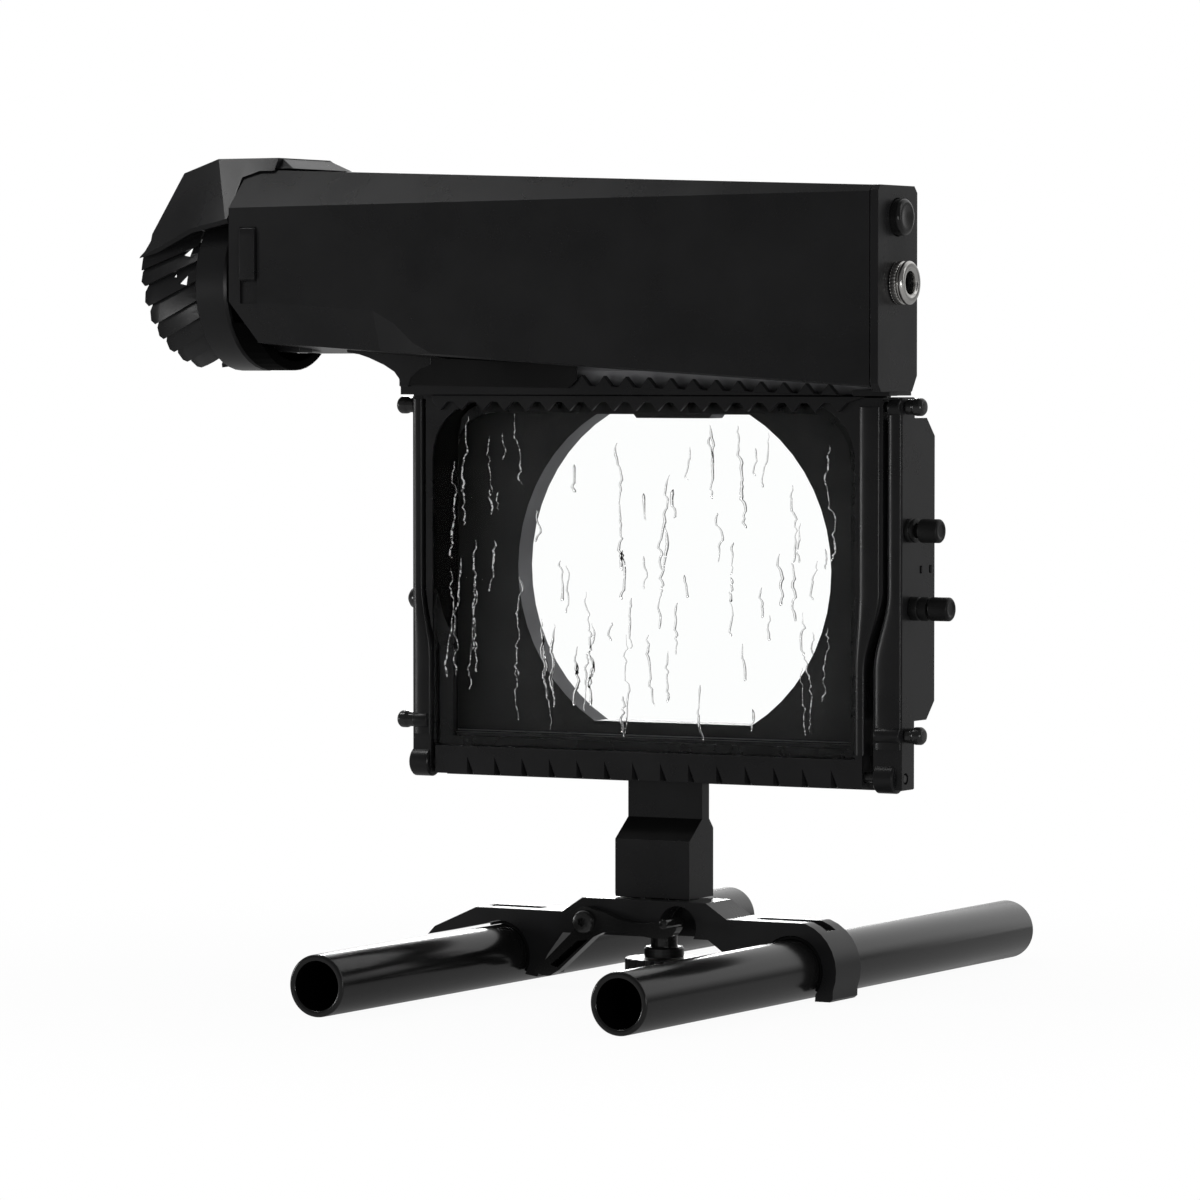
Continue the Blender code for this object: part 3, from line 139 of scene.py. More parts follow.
def link_noise(mat, bsdf, scale, roughness, bump_scale, bump):
    """Roughness that varies between two values, and a fine bump; returns the broad noise."""
    nodes, links = mat.node_tree.nodes, mat.node_tree.links
    coords = nodes.new("ShaderNodeTexCoord").outputs["Object"]
    broad = noise_texture(nodes, links, coords, scale, BROAD_DETAIL)
    spread = map_range(nodes, links, broad.outputs["Fac"], NOISE_LOW, NOISE_HIGH, *roughness)
    links.new(spread.outputs["Result"], bsdf.inputs["Roughness"])
    fine = noise_texture(nodes, links, coords, bump_scale, FINE_DETAIL)
    relief = nodes.new("ShaderNodeBump")
    relief.inputs["Strength"].default_value = bump
    relief.inputs["Distance"].default_value = BUMP_HEIGHT
    links.new(fine.outputs["Fac"], relief.inputs["Height"])
    links.new(relief.outputs["Normal"], bsdf.inputs["Normal"])
    return broad


def opaque(name, colour, roughness, metallic=0.0, specular=0.5, scale=60.0, bump_scale=2500.0, bump=0.25):
    """An opaque finish whose colour, roughness and relief vary a little over the surface."""
    mat, bsdf = principled(name)
    bsdf.inputs["Metallic"].default_value = metallic
    bsdf.inputs["Specular IOR Level"].default_value = specular
    broad = link_noise(mat, bsdf, scale, roughness, bump_scale, bump)
    dark = [c * (1 - COLOUR_SPREAD) for c in colour]
    light = [c * (1 + COLOUR_SPREAD) for c in colour]
    nodes, links = mat.node_tree.nodes, mat.node_tree.links
    ramp = two_stops(nodes, links, broad.outputs["Fac"], ((NOISE_LOW, dark), (NOISE_HIGH, light)))
    links.new(ramp.outputs["Color"], bsdf.inputs["Base Color"])
    return mat


def clear(name, ior, tint, roughness=0.0):
    """A clear solid with one tint."""
    mat, bsdf = principled(name)
    bsdf.inputs["Base Color"].default_value = (*tint, 1)
    bsdf.inputs["Roughness"].default_value = roughness
    bsdf.inputs["IOR"].default_value = ior
    bsdf.inputs["Transmission Weight"].default_value = 1.0
    return mat


WHITE = (1.0, 1.0, 1.0)
WATER_IOR = 1.33
# Much lower than real glass, so that the pane mirrors little of the studio, as in the photo
GLASS_IOR = 1.12
BLACK = (0.006, 0.006, 0.0063)
MATS = {
    "body": opaque("black_anodised", BLACK, (0.24, 0.34), specular=0.27),
    "duct": opaque("black_moulded", BLACK, (0.24, 0.32), specular=0.27, scale=35, bump_scale=1800, bump=0.2),
    # Near-black with almost no sheen: the fan's inner parts' own finish, and painted shade in the rods'
    # bores, on the lever's slot sheet, on the sheet behind the glass and on the seal's left faces
    "inner": opaque("black_inner_painted_shade", (0.001, 0.001, 0.001), (0.5, 0.6), specular=0.01),
    # Matt black for the air outlet's strip, and painted shade on the riser's sloped faces
    "shade": opaque("black_matt_and_painted_shade", (0.003, 0.003, 0.003), (0.3, 0.4), specular=0.15),
    "plate": opaque("black_plate", (0.022, 0.022, 0.022), (0.35, 0.5), specular=0.2),
    "rod": opaque("black_rod", (0.003, 0.003, 0.003), (0.15, 0.22), specular=0.45, scale=25, bump=0.05),
    "gloss": opaque("black_gloss", (0.004, 0.004, 0.004), (0.12, 0.18), specular=0.4, bump=0.05),
    "knob": opaque("black_knob", (0.004, 0.004, 0.004), (0.34, 0.46), specular=0.22),
    "rubber": opaque("black_rubber", (0.004, 0.004, 0.004), (0.7, 0.85), specular=0.08, bump=0.5),
    "dark_steel": opaque("blackened_steel", (0.005, 0.005, 0.005), (0.16, 0.26), specular=0.6),
    "steel": opaque("steel", (0.42, 0.42, 0.43), (0.25, 0.4), metallic=1.0, bump=0.15),
    "chrome": opaque("bright_nickel", (0.62, 0.61, 0.59), (0.14, 0.22), metallic=1.0, bump=0.05),
    "satin": opaque("satin_vane", (0.16, 0.16, 0.165), (0.35, 0.5), metallic=0.3, bump=0.2),
    "lens_wall": opaque("lens_wall", (0.13, 0.13, 0.135), (0.5, 0.6), specular=0.3),
    "board": opaque("board_lacquer", (0.01, 0.05, 0.02), (0.2, 0.35)),
    "light": opaque("smoked_window", (0.001, 0.001, 0.001), (0.08, 0.14), specular=0.08, bump=0.02),
    "glass": clear("window_glass", GLASS_IOR, (0.985, 0.995, 0.99)),
    "water": clear("water", WATER_IOR, WHITE),
    "water_glints": clear("water_painted_glints", WATER_IOR, WHITE, 0.15),
}


# Facing weights between which a thread of water darkens towards its edges, and the painted shade there
RIM_START = 0.1
RIM_END = 0.42
RIM_PAINTED_SHADE = (0.1, 0.1, 0.1)
# Noise band over which painted glints on the water go from clear to white, and its transmission at both ends
DASH_SCALE = 1000.0
DASH_BAND = (0.47, 0.56)
CLEAR_TO_WHITE = (0.99, 0.45)


def shade_water(mat):
    """Threads of water get a painted shade of grey along their edges, where real ones bend the light away."""
    nodes, links = mat.node_tree.nodes, mat.node_tree.links
    weight = nodes.new("ShaderNodeLayerWeight")
    weight.inputs["Blend"].default_value = 0.5
    ramp = two_stops(nodes, links, weight.outputs["Facing"], ((RIM_START, WHITE), (RIM_END, RIM_PAINTED_SHADE)))
    links.new(ramp.outputs["Color"], nodes["Principled BSDF"].inputs["Base Color"])


def paint_glints(mat):
    """Painted glints: the water is white in short dashes and clear between them."""
    nodes, links = mat.node_tree.nodes, mat.node_tree.links
    coords = nodes.new("ShaderNodeTexCoord").outputs["Object"]
    noise = noise_texture(nodes, links, coords, DASH_SCALE)
    ramp = map_range(nodes, links, noise.outputs["Fac"], *DASH_BAND, *CLEAR_TO_WHITE)
    links.new(ramp.outputs["Result"], nodes["Principled BSDF"].inputs["Transmission Weight"])


shade_water(MATS["water"])
# Painted glints for the threads in front of the dark plate
paint_glints(MATS["water_glints"])


# Mesh helpers

# Degrees; the duct's and the cowl's facets meet at small angles
EDGE_ANGLE = 32.0
FACET_ANGLE = 9.0
SMALL_TURN = math.radians(1.0)
WELD = 2e-6
ON_AXIS = 1e-6
SHORTEST_ARC = 1e-4


def keep(name, bm, mat, body, replaces=(), smooth_angle=35.0):
    """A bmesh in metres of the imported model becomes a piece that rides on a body."""
    bmesh.ops.recalc_face_normals(bm, faces=bm.faces)
    mesh = bpy.data.meshes.new(name)
    bm.to_mesh(mesh)
    bm.free()
    mesh.shade_smooth()
    mesh.set_sharp_from_angle(angle=math.radians(smooth_angle))
    obj = bpy.data.objects.new(name, mesh)
    bpy.context.scene.collection.objects.link(obj)
    mesh.materials.append(MATS[mat])
    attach(obj, body)
    if replaces:
        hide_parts(*replaces)
    return obj


def add_second(mesh, mat, wanted):
    """Gives a mesh a second material on the faces that are wanted."""
    mesh.materials.append(MATS[mat])
    for face in mesh.polygons:
        if wanted(face):
            face.material_index = 1


def round_edges(obj, width, segments=2, angle=EDGE_ANGLE):
    """Bevels the edges sharper than an angle, and keeps the flat faces flat in the light."""
    mod = obj.modifiers.new("edges", "BEVEL")
    mod.width = width * MM
    mod.segments = segments
    mod.limit_method = "ANGLE"
    mod.angle_limit = math.radians(angle)
    mod.miter_outer = "MITER_ARC"
    even = obj.modifiers.new("normals", "WEIGHTED_NORMAL")
    even.weight = 100


def softened(node, mat, width, angle=EDGE_ANGLE):
    """The CAD node's own shape with its edges rounded; it stands for the node."""
    source = frame["nodes"][node]
    bm = bmesh.new()
    bm.from_mesh(source.data)
    bmesh.ops.remove_doubles(bm, verts=bm.verts, dist=WELD)
    bmesh.ops.dissolve_degenerate(bm, edges=bm.edges, dist=WELD)
    bmesh.ops.dissolve_limit(bm, angle_limit=SMALL_TURN, verts=bm.verts, edges=bm.edges)
    obj = keep(node + "_piece", bm, mat, source["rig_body"], (node,))
    round_edges(obj, width, angle=angle)
    return obj


def spun_point(along, radius, angle, centre, axis):
    """A point at a distance along an axis through the centre, and at a radius and an angle about it."""
    c, s = radius * math.cos(angle), radius * math.sin(angle)
    x, y, z = centre
    return {"X": (x + along, y + c, z + s), "Y": (x + c, y + along, z + s)}[axis]


def turned(profile, centre, axis, sides=64, lobes=None, bm=None):
    """A closed (distance, radius) outline turned about an axis; a radius of 0 closes it on the axis.

    lobes(distance, radius, angle) may scale the radius, for knurls and star sockets.
    """
    bm = bm or bmesh.new()
    rings = []
    for along, radius in profile:
        if radius < ON_AXIS:
            rings.append([bm.verts.new(place(*spun_point(along, 0, 0, centre, axis)))])
            continue
        ring = []
        for i in range(sides):
            angle = 2 * math.pi * i / sides
            reach = radius * (lobes(along, radius, angle) if lobes else 1.0)
            ring.append(bm.verts.new(place(*spun_point(along, reach, angle, centre, axis))))
        rings.append(ring)
    hollow = profile[0][1] > ON_AXIS
    pairs = list(zip(rings, rings[1:])) + ([(rings[-1], rings[0])] if hollow else [])
    for a, b in pairs:
        for i in range(sides):
            j = (i + 1) % sides
            if len(a) == 1:
                bm.faces.new((a[0], b[i], b[j]))
            elif len(b) == 1:
                bm.faces.new((a[i], b[0], a[j]))
            else:
                bm.faces.new((a[i], b[i], b[j], a[j]))
    return bm


def rounded(profile, radius, steps=3):
    """A profile with each of its corners, other than those on the axis, turned into a small arc."""
    out = []
    count = len(profile)
    for i, corner in enumerate(profile):
        here = Vector(corner)
        before, after = Vector(profile[i - 1]), Vector(profile[(i + 1) % count])
        open_end = profile[0][1] < ON_AXIS and i in (0, count - 1)
        if open_end:
            out.append(tuple(here))
            continue
        a, b = before - here, after - here
        reach = min(radius, a.length * 0.45, b.length * 0.45)
        if reach < SHORTEST_ARC:
            out.append(tuple(here))
            continue
        start, end = here + a.normalized() * reach, here + b.normalized() * reach
        for k in range(steps + 1):
            t = k / steps
            point = start * (1 - t) ** 2 + here * 2 * t * (1 - t) + end * t ** 2
            out.append(tuple(point))
    return out


# Rods


def build_rods():
    """Two tubes with rounded ends, and painted shade in the bore: its faces get the near-black inner finish.
    """
    for name, side in (("rod_left", -1), ("rod_right", 1)):
        inner, outer = ROD_R - ROD_WALL, ROD_R
        profile = [(0.0, inner), (0.0, outer), (ROD_LENGTH, outer), (ROD_LENGTH, inner)]
        bm = turned(rounded(profile, 0.7), (side * ROD_SPACING / 2, 0, 0), "Y", 128)
        obj = keep(name + "_tube", bm, "rod", "rods", (name,), 60)
        axis = place(side * ROD_SPACING / 2, 0, 0)

        def in_bore(face):
            off = math.hypot(face.center.x - axis.x, face.center.z - axis.z)
            return off < (inner + BORE_SLACK) * MM

        # Painted shade: the faces on the bore's wall get the near-black inner finish
        add_second(obj.data, "inner", in_bore)


# Screws, pins, knobs and the socket


def star(low, high, radius, lobes, depth):
    """Scales radii inside one stretch of a profile into a star, for a screw's socket."""
    def scale(along, r, angle):
        inside = low <= along <= high and r <= radius
        return 1 - depth * (0.5 + 0.5 * math.cos(lobes * angle)) if inside else 1.0
    return scale


# Ridges round a knurled cap or shell
RIDGES = 40


def knurl(low, high, radius, ridges, depth):
    """Straight ridges round the stretch of a profile that has this radius."""
    def scale(along, r, angle):
        inside = low <= along <= high and r >= radius - 0.05
        return 1 - depth * (0.5 + 0.5 * math.cos(ridges * angle)) if inside else 1.0
    return scale


def build_screws():
    """The lever's and the side screw, each with a star socket in its head."""
    low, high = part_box("lever_screw")
    x, z = (low.x + high.x) / 2, (low.z + high.z) / 2
    local = to_design(x, low.y, z)
    head = [(1.5, 0), (1.5, 0.2), (1.5, 1.35), (0.05, 1.5), (0, 1.75), (0.35, 3.2), (0.9, 3.55), (2.3, 3.55),
            (2.3, 1.7), (16.4, 1.7), (16.4, 0)]
    bm = turned(head, tuple(local), "Y", 72, star(0.0, 1.5, 1.6, 6, 0.22))
    keep("lever_screw_piece", bm, "dark_steel", "carriage", ("lever_screw",), 40)
    low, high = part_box("side_screw")
    local = to_design(low.x, (low.y + high.y) / 2, (low.z + high.z) / 2)
    length = (high.x - low.x) / MM
    head = [(1.6, 0), (1.6, 1.2), (0.0, 1.35), (0.0, 1.9), (1.0, 3.1), (3.0, 3.6), (3.3, 3.6), (3.3, 1.35),
            (length, 1.35), (length, 0)]
    bm = turned(head, tuple(local), "X", 72, star(0.0, 1.6, 1.45, 6, 0.2))
    keep("side_screw_piece", bm, "dark_steel", "carriage", ("side_screw",), 40)


def build_pegs():
    """Latch pins and pegs at the sides: a rounded head and a waist at the arm."""
    for name, body in (("latch_pin_left", "latch_left"), ("latch_pin_right", "latch_right"),
                       ("side_peg_left", "carriage"), ("side_peg_right", "carriage")):
        low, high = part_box(name)
        left = name.endswith("left")
        y, z = (low.y + high.y) / 2, (low.z + high.z) / 2
        tip = low.x if left else high.x
        root = high.x if left else low.x
        local = to_design(tip, y, z)
        sign = 1 if left else -1
        length = abs(root - tip) / MM
        shape = [(0, 0), (0, 2.0), (0.9, 2.75), (3.0, 2.75), (3.9, 2.35), (6.1, 2.35), (6.1, 1.2),
                 (length, 1.2), (length, 0)]
        shape = rounded(shape, 0.4)
        bm = turned([(a * sign, r) for a, r in shape], tuple(local), "X", 48)
        keep(name + "_piece", bm, "dark_steel", body, (name,), 40)


def build_knobs():
    """Mode button and speed knob: a collar with a groove, and a cap with fine ridges and a dished end."""
    for name, collar_share, gap in (("mode_button", 0.6, 1.6), ("speed_knob", 1.0, 0.5)):
        low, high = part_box(name)
        y, z = (low.y + high.y) / 2, (low.z + high.z) / 2
        r = (high.y - low.y) / 2 / MM
        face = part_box("control_housing")[1].x
        local = to_design(face, y, z)
        tip = (high.x - face) / MM
        root = (low.x - face) / MM
        collar_end = (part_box(name + "_collar")[1].x - face) / MM * collar_share
        start = collar_end + gap
        cap = [(root, 0), (root, 1.9), (start, 1.9), (start, r - 0.3), (start + 0.3, r), (tip - 0.6, r),
               (tip, r - 0.6), (tip, r - 1.3), (tip - 0.35, r - 1.9), (tip - 0.35, 0)]
        ridges = knurl(start + 0.2, tip - 0.5, r, RIDGES, 0.025)
        bm = turned(rounded(cap, 0.2, 2), tuple(local), "X", 120, ridges)
        keep(name + "_piece", bm, "knob", name, (name,), 40)
        ring = [(0.15, r - 1.4), (0.15, r), (collar_end * 0.45, r), (collar_end * 0.45 + 0.3, r - 0.3),
                (collar_end * 0.45 + 0.6, r), (collar_end, r), (collar_end, r - 1.4)]
        bm = turned(rounded(ring, 0.18, 2), tuple(local), "X", 72)
        keep(name + "_collar_piece", bm, "knob", "carriage", (name + "_collar",), 40)


POWER_BUTTON_R = 5.65
SOCKET_PINS = 5


def build_end_fittings():
    """Power button with a dished rounded top, and the round plug socket with its keyed insert."""
    low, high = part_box("power_button")
    y, z = (low.y + high.y) / 2, (low.z + high.z) / 2
    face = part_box("end_cap")[1].x
    local = to_design(face, y, z)
    tip, root = (high.x - face) / MM, (low.x - face) / MM
    r = POWER_BUTTON_R
    cap = [(root, 0), (root, r + 1.2), (root + 1.4, r + 1.2), (root + 1.4, r), (tip - 0.7, r), (tip, r - 0.9),
           (tip, r - 2.0), (tip - 0.4, 0)]
    bm = turned(rounded(cap, 0.45), tuple(local), "X", 96)
    keep("power_button_piece", bm, "gloss", "power_button", ("power_button",), 50)
    low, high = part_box("socket_shell")
    local = to_design(face, (low.y + high.y) / 2, (low.z + high.z) / 2)
    tip = (high.x - face) / MM
    r = (high.y - low.y) / 2 / MM
    bore = r - 3.1
    shell = [(-6.0, bore), (-6.0, r - 1.7), (0.15, r - 1.7), (0.15, r - 0.2), (0.5, r), (2.2, r),
             (2.5, r - 0.8), (2.9, r - 0.8), (3.2, r), (tip - 0.7, r), (tip, r - 0.7), (tip, bore + 0.9),
             (tip - 0.5, bore + 0.4), (tip - 0.5, bore)]
    bm = turned(rounded(shell, 0.15, 2), tuple(local), "X", 160, knurl(0.5, 2.2, r, RIDGES, 0.03))
    keep("socket_shell_piece", bm, "chrome", "carriage", ("socket_shell",), 40)
    low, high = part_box("socket_insert")
    insert_r = (high.y - low.y) / 2 / MM
    end = (high.x - face) / MM
    insert = [(-5.0, 0), (-5.0, insert_r), (end, insert_r), (end, insert_r - 0.8),
              (end - 1.2, insert_r - 1.2), (end - 1.2, 0)]

    def keyed(along, radius, angle):
        inside = radius < insert_r - 0.5 and along > 0
        return 1 - 0.3 * max(0.0, math.cos(3 * angle)) ** 6 if inside else 1.0

    bm = turned(insert, tuple(local), "X", 72, keyed)
    for k in range(SOCKET_PINS):
        turn = 2 * math.pi * (k + 0.5) / SOCKET_PINS
        spot = (local.x, local.y + 1.2 * math.cos(turn), local.z + 1.2 * math.sin(turn))
        pin = [(end - 2.0, 0), (end - 2.0, 0.3), (end - 0.5, 0.3), (end - 0.3, 0.15), (end - 0.3, 0)]
        turned(pin, spot, "X", 12, bm=bm)
    keep("socket_insert_piece", bm, "rubber", "carriage", ("socket_insert",), 40)


# Flat pieces and the cam lever


def plate(outline, holes, y0, y1):
    """A flat plate in the XZ plane with holes, from Y = y0 to y1."""
    bm = bmesh.new()
    edges = []
    for loop in (outline, *holes):
        verts = [bm.verts.new(place(x, y0, z)) for x, z in loop]
        edges += [bm.edges.new((verts[k], verts[(k + 1) % len(verts)])) for k in range(len(verts))]
    bmesh.ops.triangle_fill(bm, use_beauty=True, use_dissolve=False, edges=edges)
    grown = bmesh.ops.extrude_face_region(bm, geom=bm.faces[:])
    moved = [item for item in grown["geom"] if isinstance(item, bmesh.types.BMVert)]
    bmesh.ops.translate(bm, verts=moved, vec=(0, (y1 - y0) * MM, 0))
    bmesh.ops.dissolve_limit(bm, angle_limit=SMALL_TURN, verts=bm.verts, edges=bm.edges)
    return bm


def skin(bm, rings):
    """Faces between neighbouring rings of vertices, and over both ends."""
    for a, b in zip(rings, rings[1:]):
        for k in range(len(a)):
            m = (k + 1) % len(a)
            bm.faces.new((a[k], a[m], b[m], b[k]))
    bm.faces.new(rings[0])
    bm.faces.new(rings[-1][::-1])


def slab(bm, outline, front, back):
    """A flat piece with its (x, z) outline between two depths."""
    skin(bm, [[bm.verts.new(place(x, y, z)) for x, z in outline] for y in (front, back)])


def ring_points(x, z, radius, start, end, steps):
    """Points (x, z) on an arc between two angles in degrees."""
    turn = [math.radians(start + (end - start) * k / steps) for k in range(steps + 1)]
    return [(x + radius * math.cos(a), z + radius * math.sin(a)) for a in turn]


LEVER_AXIS = (-18.6, 12.3)
LEVER_BOSS = 4.7
LEVER_BORE = 2.1
LEVER_FRONT = 106.2
LEVER_BACK = 110.2
LEVER_LEG = (
    (-36.4, -3.6), (-36.2, -4.6), (-34.0, -5.4), (-31.4, -5.4), (-28.0, -3.4), (-15.6, 7.6), (-11.5, 9.4),
)
LEVER_ARM = (
    (-7.0, 9.7), (-2.0, 9.3), (4.0, 8.3), (9.0, 8.1), (12.4, 9.2), (13.9, 11.2), (14.2, 13.2), (13.0, 14.4),
    (9.0, 13.6), (4.0, 12.8), (-2.0, 12.7), (-7.0, 13.6), (-11.5, 15.4),
)
LEVER_SLOT = ((-21.5, 6.2), (-31.2, -1.9), (-28.6, -2.6), (-17.6, 6.7))
LEVER_TIP = (13.2, 98.7, 13.5)
TIP_LENGTH = 11.2
TIP_R = 1.5


def build_lever():
    """Boss round the pivot, slotted leg down to the left, waisted arm to the right with a tip bar."""
    outline = ring_points(*LEVER_AXIS, LEVER_BOSS, 62, 214, 16)
    outline += [*LEVER_LEG, *LEVER_ARM]
    bore = ring_points(*LEVER_AXIS, LEVER_BORE, 0, 345, 23)
    bm = plate(outline, (bore, LEVER_SLOT), LEVER_FRONT, LEVER_BACK)
    lever = keep("cam_lever_piece", bm, "gloss", "cam_lever", ("cam_lever",))
    round_edges(lever, 0.5, 3, 40)
    bar = rounded([(0, 0), (0, TIP_R), (TIP_LENGTH, TIP_R), (TIP_LENGTH, 0)], 0.4)
    keep("cam_lever_tip", turned(bar, LEVER_TIP, "Y", 32), "gloss", "cam_lever", (), 40)
    # A near-black sheet at the back of the slot, painted shade
    floor = bmesh.new()
    slab(floor, LEVER_SLOT, LEVER_BACK - 0.7, LEVER_BACK - 0.2)
    keep("lever_slot_shade", floor, "inner", "cam_lever", (), 40)


# Water on the window

WATER_SEED = 11
WATER_COUNT = 68
WATER_LENGTHS = (7, 10, 14, 19, 26, 34)
# Spreads the threads evenly over the width without a visible order
GOLDEN_SHARE = 0.618
# The round field that is white behind the water, as the photo's camera sees it
LENS_VIEW = place(4.4, 0, 122.5)
LENS_EDGE = 55.0 * MM

# A thread's lengths are in metres; the drift is sideways per length
THREAD_STEP = 0.0004
THREAD_HALF = (0.00026, 0.00054)
THREAD_THINNEST = 0.00007
THREAD_KINK = 0.0011
THREAD_LIFT = 0.00001
THREAD_DRIFT = 0.2
THREAD_SIDES = 6
# Chances per step of a new heading and of a new kink, and how fast the thread follows its kink
TURN_CHANCE = 0.08
KINK_CHANCE = 0.24
KINK_EASE = 0.35
# Threads in front of the dark plate are thinner than those in front of the white field
DARK_SHARE = 0.55


def build_water():
    """Rivulets on the front of the glass: thin jagged threads, each a chain of short runs and beads."""
    rng = random.Random(WATER_SEED)
    low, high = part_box("glass_pane")
    front = low.y
    width = high.x - low.x
    bm = bmesh.new()
    for i in range(WATER_COUNT):
        share = (i * GOLDEN_SHARE + rng.uniform(0, 0.05)) % 1.0
        x = low.x + width * (0.03 + 0.94 * share)
        length = rng.choice(WATER_LENGTHS) * rng.uniform(0.8, 1.25) * MM
        bottom = low.z + 0.003 + (high.z - low.z - 0.006 - length) * rng.random()
        thread(bm, rng, x, bottom + length, bottom, front)
    water = keep("water_threads", bm, "water", "door", (), 180)
    # Painted glints on the threads in front of the dark plate
    add_second(water.data, "water_glints", lambda face: aside(face.center.x, face.center.z))


def aside(x, z):
    """Whether a point of the pane lies in front of the dark plate, beside the white field."""
    return math.hypot(x - LENS_VIEW.x, z - LENS_VIEW.z) > LENS_EDGE


def thread(bm, rng, x, top, bottom, front):
    """One rivulet: a wandering line whose half-width swells and shrinks, lying on the glass."""
    count = max(8, int((top - bottom) / THREAD_STEP))
    heading, px = rng.uniform(-0.1, 0.1), x
    base = rng.uniform(*THREAD_HALF)
    phase = rng.uniform(0, 6.28)
    kink, side = 0.0, 0.0
    rings = []
    for k in range(count + 1):
        share = k / count
        if rng.random() < TURN_CHANCE:
            heading = rng.uniform(-THREAD_DRIFT, THREAD_DRIFT)
        if rng.random() < KINK_CHANCE:
            kink = rng.uniform(-THREAD_KINK, THREAD_KINK)
        side += KINK_EASE * (kink - side)
        px += heading * THREAD_STEP
        # Two waves along the thread, thin ends and a bead near its foot
        pulse = 0.9 + 0.2 * math.sin(k * 0.23 + phase) + 0.25 * math.sin(k * 0.07 + phase * 3)
        ends = min(1.0, 8 * share + 0.2, 8 * (1 - share) + 0.5)
        bead = 1.0 + 0.5 * math.exp(-((share - 0.97) / 0.03) ** 2)
        z = top + (bottom - top) * share
        half = max(base * pulse * ends * bead * (DARK_SHARE if aside(px, z) else 1.0), THREAD_THINNEST)
        ring = []
        for m in range(THREAD_SIDES + 1):
            turn = math.pi * m / THREAD_SIDES
            across = px + side - half * math.cos(turn)
            ring.append(bm.verts.new((across, front - THREAD_LIFT - 0.5 * half * math.sin(turn), z)))
        rings.append(ring)
    skin(bm, rings)


# Fine parts of the arms

FRAME_FRONT = 116.0
RIB_STEPS = 10
RIB_SINK = 0.3
CURVE_FOOT = 93.0
CURVE_HEIGHT = 24.0
CURVE_STEPS = 12
BAR_R = 2.6
BAR_SINK = 0.6


def rib(name, points, height, body):
    """A bar with a rounded front that lies on an arm; points are (x, z, half width) from bottom to top."""
    bm = bmesh.new()
    rings = []
    for x, z, half in points:
        ring = []
        for k in range(RIB_STEPS + 1):
            turn = math.pi * k / RIB_STEPS
            across, depth = x - half * math.cos(turn), FRAME_FRONT - height * math.sin(turn)
            ring.append(bm.verts.new(place(across, depth, z)))
        ring.append(bm.verts.new(place(x + half, FRAME_FRONT + RIB_SINK, z)))
        ring.append(bm.verts.new(place(x - half, FRAME_FRONT + RIB_SINK, z)))
        rings.append(ring)
    skin(bm, rings)
    keep(name, bm, "body", body, (), 40)


def arm_line(low, high, half_low, half_high, bottom, top):
    """Centre line of an arm with its S-curve."""
    points = [(low, bottom, half_low), (low, CURVE_FOOT, half_low)]
    for i in range(1, CURVE_STEPS):
        share = i / CURVE_STEPS
        ease = 3 * share ** 2 - 2 * share ** 3
        x = low + (high - low) * ease
        points.append((x, CURVE_FOOT + CURVE_HEIGHT * share, half_low + (half_high - half_low) * ease))
    return points + [(high, CURVE_FOOT + CURVE_HEIGHT, half_high), (high, top, half_high)]


def build_arms():
    """The side arms and the door's right bar have rounded fronts."""
    rib("arm_round_left", arm_line(-83.9, -85.4, 3.1, 1.7, 69.0, 176.0), 0.8, "carriage")
    rib("arm_round_right", arm_line(82.3, 84.7, 4.6, 2.3, 69.0, 176.0), 0.9, "carriage")
    rib("door_round_right", arm_line(72.8, 75.9, 1.6, 3.6, 67.0, 174.0), 0.9, "door")
    for name, x0, x1, z in (("bar_low_right", 78.0, 86.8, 73.35), ("bar_top_right", 82.6, 86.8, 173.8),
                            ("bar_low_left", -86.8, -81.2, 73.35)):
        bar = rounded([(0, 0), (0, BAR_R), (x1 - x0, BAR_R), (x1 - x0, 0)], 0.7)
        bm = turned(bar, (x0, FRAME_FRONT + BAR_SINK, z), "X", 40)
        keep(name, bm, "body", "carriage", (), 40)


# Painted shade: a thin near-black sheet left of the lens, behind the glass, where a deep slot lies in shade

SLOT_SHADE_SHIFT = 2.87
SLOT_SHADE_FRONT = 119.08
SLOT_SHADE_BACK = 119.2
SLOT_SHADE_OUTLINE = (
    (-66.3, 175.1), (-71.0, 172.6), (-73.5, 170.2), (-74.7, 165.5), (-75.0, 158.0), (-75.0, 108.7),
    (-76.4, 104.6), (-78.4, 103.0), (-80.4, 107.0), (-83.9, 119.6), (-84.6, 163.5), (-82.0, 169.0),
    (-75.6, 174.4), (-70.2, 176.3),
)


def build_slot_shade():
    """A thin near-black sheet just behind the glass left of the lens wall, painted shade of the deep slot
    seen through it.
    """
    bm = bmesh.new()
    slab(bm, [(x + SLOT_SHADE_SHIFT, z) for x, z in SLOT_SHADE_OUTLINE], SLOT_SHADE_FRONT, SLOT_SHADE_BACK)
    keep("wall_slot_shade", bm, "inner", "door", (), 40)


# Fine parts of the intake

FAN_CENTRE = (127.0, 213.0)
SKIRT_OUTER = 27.3
SKIRT_INNER = 26.4
SKIRT_ROWS = 3
SKIRT_COLUMNS = 8
SKIRT_LEFT = -160.0
SKIRT_LENGTH = 20.3
SKIRT_TOP = 231.6
SKIRT_FALL = 9.4
SKIRT_HEIGHT = 6.2
SKIRT_NARROWING = 1.6


